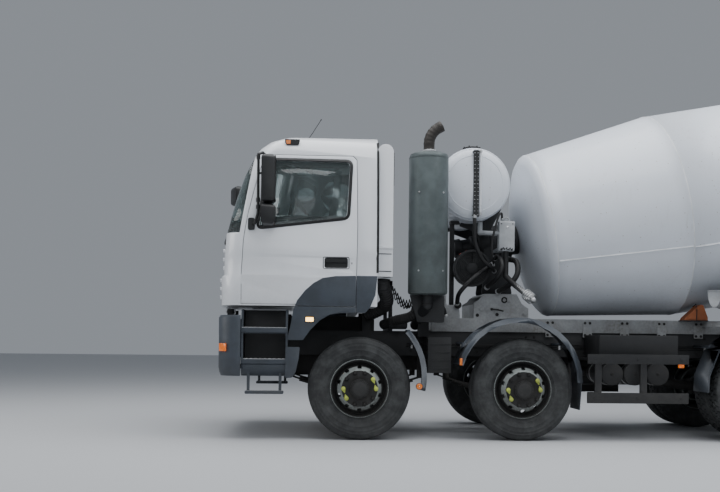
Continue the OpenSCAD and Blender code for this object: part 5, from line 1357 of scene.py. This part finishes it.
for along in (-0.042, -0.012, 0.018, 0.046):
    pump.turned(hoop(0.055, 0.0605, 0.007, 0.005, along), coupling, 28)
pump.done()
print("pump fittings, with paint chips", CHIPS)


# %% [markdown]
# The drum is rolled from plates: rings of plate meet in round welds, and each ring closes with one
# long weld. Two spiral blades run inside from mouth to front and carry the load in or out.

# %% Drum welds and blades
TILT = math.radians(10)
DRUM = Matrix(((0, -math.sin(TILT), -math.cos(TILT), FRONT_X - 1.810), (1, 0, 0, 0),
               (0, -math.cos(TILT), math.sin(TILT), 2.203), (0, 0, 0, 1)))
DRUM_INSIDE = [(0.30, 0.915), (1.68, 1.128), (2.90, 1.128), (5.00, 0.558)]
# start, stop and turn of each long weld
LONG_WELDS = ((0.28, 1.67, 0.39), (1.70, 2.27, 0.4), (2.29, 2.88, 2.5), (2.92, 3.44, 5.2),
              (3.46, 3.92, 3.6))
BLADE_START, BLADE_LENGTH, BLADE_TURNS, BLADE_STEPS = 0.55, 4.35, 2.6, 120


def inside_radius(along):
    for (a, ra), (b, rb) in zip(DRUM_INSIDE, DRUM_INSIDE[1:]):
        if along <= b:
            return ra + (rb - ra) * (along - a) / (b - a)


def drum_point(radius, turn, along):
    return DRUM @ Vector((radius * math.cos(turn), radius * math.sin(turn), along))


welds = Piece("drum_welds", "drum", "weld_paint")
for along in (0.268, 1.680, 2.900, 3.450):
    radius = inside_radius(along) + (0.0235 if along < 3 else 0.0222)
    slope = (inside_radius(along + 0.01) - inside_radius(along - 0.01)) / 0.02
    foot, top = radius - 0.006, radius + 0.001
    welds.turned([(foot - 0.009 * slope, along - 0.009), (top, along - 0.003), (top, along + 0.003),
                  (foot + 0.009 * slope, along + 0.009)], DRUM, 120)
for start, stop, turn in LONG_WELDS:
    stations = [start + (stop - start) * k / 24 for k in range(25)]
    welds.bar([drum_point(inside_radius(along) + 0.0215, turn, along) for along in stations],
              [(-0.008, -0.008), (0.008, -0.008), (0.004, 0.004), (-0.004, 0.004)])
welds.done(angle=50)

blades = Piece("drum_blades", "drum", "cast_iron")
for first in (0.0, math.pi):
    rows = []
    for k in range(BLADE_STEPS + 1):
        along = BLADE_START + BLADE_LENGTH * k / BLADE_STEPS
        turn = first + 2 * math.pi * BLADE_TURNS * k / BLADE_STEPS
        outer = inside_radius(along) - 0.006
        inner = max(outer - 0.30, outer * 0.62)
        rows.append([drum_point(radius, turn, along + lean)
                     for radius, lean in ((outer, 0), ((outer + inner) / 2, 0.02), (inner, 0.05))])
    blades.sheet(rows, DRUM.to_3x3() @ Vector((0, 0, 1)), 0.006)
blades.done(angle=50)
print("long welds", len(LONG_WELDS), "and points along a blade", len(rows))


# %% [markdown]
# A truck frame is bolted, not welded. Rows of flange bolts hold the cross members, the subframe's
# plates hold the mixer down, and brake pipes and cables run along the rails in clips.

# %% Frame bolts, plates, pipes and clips
RAIL_BOLT = [(0.0, 0.011), (0.009, 0.011), (0.010, 0.003), (0.016, 0.002), (0.016, -0.003)]
# the bolts' heights at each place in a row of seven places
BOLT_ROWS = {0: (0.915, 1.085), 1: (0.915, 1.085), 4: (1.0,)}
PIPE_HEIGHTS = (0.962, 0.978, 0.994)
PLATE = [(-0.05, -0.12), (0.05, -0.12), (0.05, 0.07), (-0.05, 0.07)]

for side in SIDES:
    rail = Piece(f"frame_hardware_{side}", "chassis", "cast_iron")
    for k in range(62):
        heights = BOLT_ROWS.get(k % 7, ())
        rail.studs(RAIL_BOLT, [spot(-0.60 - 0.092 * k, RAIL_FACE, up) for up in heights], 6)
    for k in range(9):
        forward = -2.15 - 0.42 * k
        rail.use("mixer_frame_paint").prism(PLATE, side_plane(forward, 0.449, 1.205), 0.009)
        corners = [spot(forward + dx, 0.458, up) for dx in (-0.028, 0.028) for up in (1.245, 1.110)]
        rail.use("cast_iron").studs(RAIL_BOLT, corners, 6)
    rail.use("rubber")
    for k, up in enumerate(PIPE_HEIGHTS):
        points = [spot(-0.55 - 0.55 * i, 0.432 + 0.004 * ((i + k) % 2), up + 0.004 * ((i * 2 + k) % 3 - 1))
                  for i in range(11)]
        rail.bar(smooth_path(points, 4), 0.0065)
    rail.use("aluminium")
    for k in range(11):
        rail.box(spot(-0.60 - 0.55 * k, 0.424, 0.945), spot(-0.62 - 0.55 * k, 0.444, 1.008))
    rail.done()
print("frame hardware on", len(SIDES), "rails")


# %% [markdown]
# A wheel chock hangs beside the left rail under a bent wire. The air tanks are held by bands, the
# tank on the right by straps, the battery box has raised ribs, and the side guards are bolted on.

# %% Chock, tank straps and guard hardware
WEDGE = [(0.0, 0.0), (-0.265, 0.0), (-0.265, 0.035), (-0.215, 0.165), (-0.185, 0.175), (-0.150, 0.150),
         (-0.015, 0.028)]
WEDGE_RIB = [(-0.03, 0.012), (-0.235, 0.012), (-0.205, 0.148), (-0.178, 0.152)]
DRAIN = [(0.0, 0.010), (0.014, 0.009), (0.018, 0.0), (0.018, -0.003)]
FILLER = [(0.0, 0.030), (0.030, 0.028), (0.042, 0.022), (0.045, 0.0), (0.045, -0.004)]
GUSSET = [(0.0, 0.0), (-0.085, 0.0), (-0.085, -0.105), (-0.055, -0.105), (0.0, -0.02)]
GUARD_BOLT = [(0.0, 0.009), (0.009, 0.009), (0.010, 0.0), (0.010, -0.003)]

chock = Piece("wheel_chock", "chassis", "chock_paint")
chock.prism(WEDGE, side_plane(-3.605, 0.470, 1.286), 0.150)
chock.prism(WEDGE_RIB, side_plane(-3.605, 0.619, 1.286), 0.008)
chock.use("frame_paint").box(spot(-3.60, 0.445, 1.276), spot(-3.875, 0.625, 1.287))
chock.bar([spot(-3.74, 0.628, 1.282), spot(-3.74, 0.634, 1.40), spot(-3.76, 0.55, 1.468),
           spot(-3.76, 0.455, 1.44)], 0.005)
chock.done(bevel=0.004)

straps = Piece("tank_straps", "chassis", "aluminium")
for forward in (-2.670, -2.915, -3.160):
    straps.use("aluminium")
    for across in (0.60, 0.92):
        straps.turned(hoop(0.1175, 0.1205, 0.016, 0.015), spot(forward, across, 0.700), 36, OUTWARD)
        straps.box(spot(forward - 0.010, across - 0.012, 0.817),
                   spot(forward + 0.010, across + 0.012, 0.842))
    straps.use("cast_iron").turned(DRAIN, spot(forward, 1.060, 0.700), 18, OUTWARD)
straps.use("aluminium")
for forward in (-2.62, -2.84, -3.08, -3.30):
    straps.box(spot(forward - 0.020, -1.103, 0.523), spot(forward + 0.020, -1.099, 1.087))
    straps.box(spot(forward - 0.020, -1.100, 1.089), spot(forward + 0.020, -0.470, 1.093))
straps.use("dark_plastic").turned(FILLER, spot(-2.73, -0.98, 1.090), 30)
for k in range(4):
    low, high = 0.735 + 0.085 * k, 0.747 + 0.085 * k
    straps.box(spot(-0.742, 0.480, low), spot(-0.728, 0.890, high))
    straps.box(spot(-0.750, 0.897, low), spot(-0.970, 0.905, high))
straps.done(bevel=0.0006)

guards = Piece("guard_hardware", "chassis", "frame_paint")
for sign, left in ((1, 1.176), (-1, -1.1815)):
    guards.prism(GUSSET, side_plane(-2.372, left, 0.518), 0.006)
    guards.studs(GUARD_BOLT, [spot(forward, sign * 1.195, up) for forward in (-2.45, -2.90, -3.36)
                              for up in (0.455, 0.860)], 6, (0, sign, 0))
guards.done(bevel=0.0006)
print("chock, straps and guards")


# %% [markdown]
# A truck seat is foam in a sewn cover on an air-sprung base. Foam bulges between its seams, so each
# pad starts a little small, is blown up with cloth simulation, and only then gets its sewn lines.
# The simulation runs once for the left seat and the right seat copies its meshes.

# %% Pads blown up by cloth simulation
SEAT_Y = 0.56
# part: side outline, half width, most that it may grow, axis and places of its seams, side seams
PADS = {
    "cushion": ([(0.178, 1.785), (0.600, 1.785), (0.622, 1.800), (0.622, 1.848), (0.590, 1.868),
                 (0.360, 1.858), (0.200, 1.868), (0.172, 1.850)],
                0.222, 0.022, 0, (0.300, 0.420, 0.530), 0.140),
    "back": ([(0.172, 1.895), (0.252, 1.900), (0.262, 2.020), (0.240, 2.250), (0.200, 2.440),
              (0.180, 2.462), (0.135, 2.458), (0.128, 2.400), (0.150, 2.100)],
             0.215, 0.022, 2, (2.060, 2.190, 2.320), 0.138),
    "headrest": ([(0.135, 2.510), (0.182, 2.506), (0.190, 2.560), (0.180, 2.640), (0.160, 2.655),
                  (0.130, 2.648), (0.122, 2.580)], 0.112, 0.014, 2, (), 0.080),
}
PRESSURE, CLOTH_FRAMES = 4.0, 20
SEAM_WIDTH, SEAM_DEPTH = 0.006, 0.008


def pad_blank(name, outline, half):
    """The small starting shape of a pad: its side outline carried across, rounded and remeshed."""
    blank = Piece(name, "cab", "seat_cloth")
    blank.prism(round_outline(outline, 0.010, 2), side_plane(0, SEAT_Y - half), 2 * half)
    piece = blank.done()
    edge = piece.modifiers.new("edge", "BEVEL")
    edge.width, edge.segments = 0.020, 3
    remesh = piece.modifiers.new("remesh", "REMESH")
    remesh.mode, remesh.voxel_size = "VOXEL", 0.006
    return piece


def keep_shapes(pieces):
    """Applies the modifiers of some pieces to their meshes, all in one evaluation."""
    graph = bpy.context.evaluated_depsgraph_get()
    shapes = [bpy.data.meshes.new_from_object(piece.evaluated_get(graph)) for piece in pieces]
    for piece, shape in zip(pieces, shapes):
        piece.modifiers.clear()
        piece.data = shape


def inflate(pieces, caps):
    """Blows the pads up together and holds every point within its cap."""
    starts = [[v.co.copy() for v in piece.data.vertices] for piece in pieces]
    for piece in pieces:
        cloth = piece.modifiers.new("cloth", "CLOTH").settings
        cloth.use_pressure, cloth.uniform_pressure_force = True, PRESSURE
        cloth.effector_weights.gravity = 0
    for step in range(1, CLOTH_FRAMES + 1):
        bpy.context.scene.frame_set(step)
    keep_shapes(pieces)
    bpy.context.scene.frame_set(1)
    for piece, start, cap in zip(pieces, starts, caps):
        for vertex, before in zip(piece.data.vertices, start):
            move = vertex.co - before
            vertex.co = before + move * min(1.0, cap / max(move.length, 1e-9))


def sew(piece, axis, lines, border):
    """Draws the cover in along the sewn lines across a pad and along its two side seams."""
    for vertex in piece.data.vertices:
        beside = abs(vertex.co.y - SEAT_Y)
        value = vertex.co[axis] - (FRONT_X if axis == 0 else 0)
        reaches = [beside - border] + [value - line for line in lines if beside < border]
        pull = max(math.exp(-(reach / SEAM_WIDTH) ** 2) for reach in reaches)
        vertex.co -= vertex.normal * SEAM_DEPTH * pull


pads = {part: pad_blank(f"seat_{part}_left", *values[:2]) for part, values in PADS.items()}
keep_shapes(list(pads.values()))
inflate(list(pads.values()), [values[2] for values in PADS.values()])
for part, pad in list(pads.items()):
    sew(pad, *PADS[part][3:])
    pad.data.shade_smooth()
    twin = pad.copy()
    twin.data = pad.data.copy()
    twin.name = f"seat_{part}_right"
    twin.data.transform(Matrix.Translation((0, -2 * SEAT_Y, 0)))
    bpy.context.scene.collection.objects.link(twin)
    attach(twin, "cab")
    pads[f"{part}_right"] = twin
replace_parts(pads["cushion"], "seats")
print("points in a cushion", len(pads["cushion"].data.vertices))

# %% Seat bases and belts
TRAY = [(0.165, 1.742), (0.625, 1.742), (0.630, 1.790), (0.600, 1.775), (0.185, 1.775), (0.160, 1.83)]
BELLOWS = [(-0.016, -0.019), (0.004, -0.010), (0.014, 0.0), (0.004, 0.010), (-0.016, 0.019)]
BELT = [(0.055, 0.86, 2.45), (0.075, 0.84, 2.10), (0.12, 0.825, 1.80), (0.16, 0.815, 1.62)]

for side in SIDES:
    base = Piece(f"seat_base_{side}", "cab", "cabin_plastic")
    base.prism(round_outline(TRAY, 0.006, 2), side_plane(0, 0.335), 0.45)
    for k in range(6):
        outline = rounded(0.215, 0.385, 0.555, 0.735, 0.05, 4)
        base.bar([spot(*p, 1.500 + 0.038 * k) for p in outline], BELLOWS, closed=True)
    base.box(spot(0.21, 0.38, 1.4345), spot(0.56, 0.74, 1.490))
    base.box(spot(0.22, 0.39, 1.70), spot(0.55, 0.73, 1.7435))
    base.use("chrome")
    for left in (0.505, 0.615):
        base.bar([spot(0.157, left, 2.44), spot(0.155, left, 2.53)], 0.0065)
    base.use("rubber").bar(smooth_path([spot(*p) for p in BELT], 5), flat(0.023, 0.001))
    base.use("cabin_plastic").box(spot(0.140, 0.788, 1.60), spot(0.180, 0.842, 1.745))
    base.done(bevel=0.002)
print("seat bases", len(SIDES))


# %% [markdown]
# Through the windows the cab has to look used, not empty: a hub on the steering wheel with two stalks,
# a hood over two gauges, switches, a gear lever and three pedals.

# %% Cab controls
HORN = [(0.0, 0.016), (0.040, 0.013), (0.070, 0.004), (0.080, -0.006), (0.080, -0.016)]
HOOD = [(0.88, 2.08), (1.02, 2.08), (1.02, 2.165), (0.96, 2.185), (0.88, 2.140)]
GAUGE = [(0.0, 0.002), (0.058, 0.002), (0.064, 0.007), (0.068, 0.0), (0.068, -0.006)]
KNOB = [(0.0, 0.034), (0.018, 0.030), (0.024, 0.012), (0.018, -0.014), (0.010, -0.026)]
WHEEL_LEAN = math.radians(32)
LEVER_TOP = spot(0.575, 0.10, 1.93)

controls = Piece("cab_controls", "cab", "cabin_plastic")
wheel = spot(0.760, SEAT_Y, 2.080)
lean = Vector((-math.sin(WHEEL_LEAN), 0, math.cos(WHEEL_LEAN)))
controls.turned(HORN, wheel + lean * 0.004, 32, lean)
for sign in (1, -1):
    bends = ((0, sign * 0.02, 0), (0.01, sign * 0.12, 0.01), (0.012, sign * 0.175, 0.015))
    controls.bar([wheel - lean * 0.045 + Vector(bend) for bend in bends], 0.009)
controls.prism(round_outline(HOOD, 0.02, 3), side_plane(0, 0.36), 0.40)
gauges = [spot(0.879, left, 2.112) for left in (0.485, 0.635)]
controls.use("dark_plastic").studs(GAUGE, gauges, 32, (-1, 0, 0.1))
for k in range(7):
    controls.box(spot(0.812, 0.02 + 0.038 * k, 2.012), spot(0.822, 0.048 + 0.038 * k, 2.052))
controls.bar([spot(0.62, 0.10, 1.62), spot(0.60, 0.10, 1.86), LEVER_TOP], 0.011)
controls.turned(KNOB, LEVER_TOP, 20, (-0.3, 0, 1))
controls.use("rubber")
for left in (0.70, 0.58, 0.46):
    controls.prism(flat(0.028, 0.06, 0.032), spot(1.06, left, 1.60), 0.014, (-0.8, 0, 0.6))
    controls.bar([spot(1.066, left, 1.595), spot(1.16, left, 1.560), spot(1.20, left, 1.66)], 0.008)
controls.done(bevel=0.001)
print("cab controls done")


# %% [markdown]
# At the rear the lamps stand in a bracket behind bars, with the number plate between them. The
# ladder's platform is open grating, so that concrete falls through.

# %% Rear lamp bars, platform grating and plate
REAR_LAMP = [(0.0, 0.004), (0.035, 0.003), (0.042, 0.0), (0.042, -0.003)]
REAR_FACE = Matrix(((0, 0, -1, FRONT_X - 6.372), (1, 0, 0, 0), (0, 1, 0, 0.435), (0, 0, 0, 1)))
BARS_X = -6.425

rear = Piece("rear_fittings", "chassis", "frame_paint")
for sign in (1, -1):
    for up in (0.705, 0.765, 0.825):
        rear.bar([spot(BARS_X, sign * 0.63, up), spot(BARS_X, sign * 1.09, up)], 0.004)
    for left in (0.632, 0.860, 1.088):
        rear.bar([spot(BARS_X, sign * left, 0.700), spot(BARS_X, sign * left, 0.830)], 0.004)
    rear.studs(REAR_LAMP, [spot(-6.410, sign * left, 0.765) for left in (0.70, 0.82, 0.93, 1.03)], 24, BACK)
rear.use("aluminium")
for k in range(26):
    forward = -6.565 + 0.0185 * k
    rear.box(spot(forward, -1.180, 2.9385), spot(forward + 0.003, -0.855, 2.945))
for k in range(7):
    rear.box(spot(-6.570, -1.175 + 0.052 * k, 2.9385), spot(-6.090, -1.172 + 0.052 * k, 2.944))
rear.prism(rounded(-0.26, 0.0, 0.26, 0.11, 0.01), REAR_FACE, 0.004)
rear.done()
print("rear fittings")
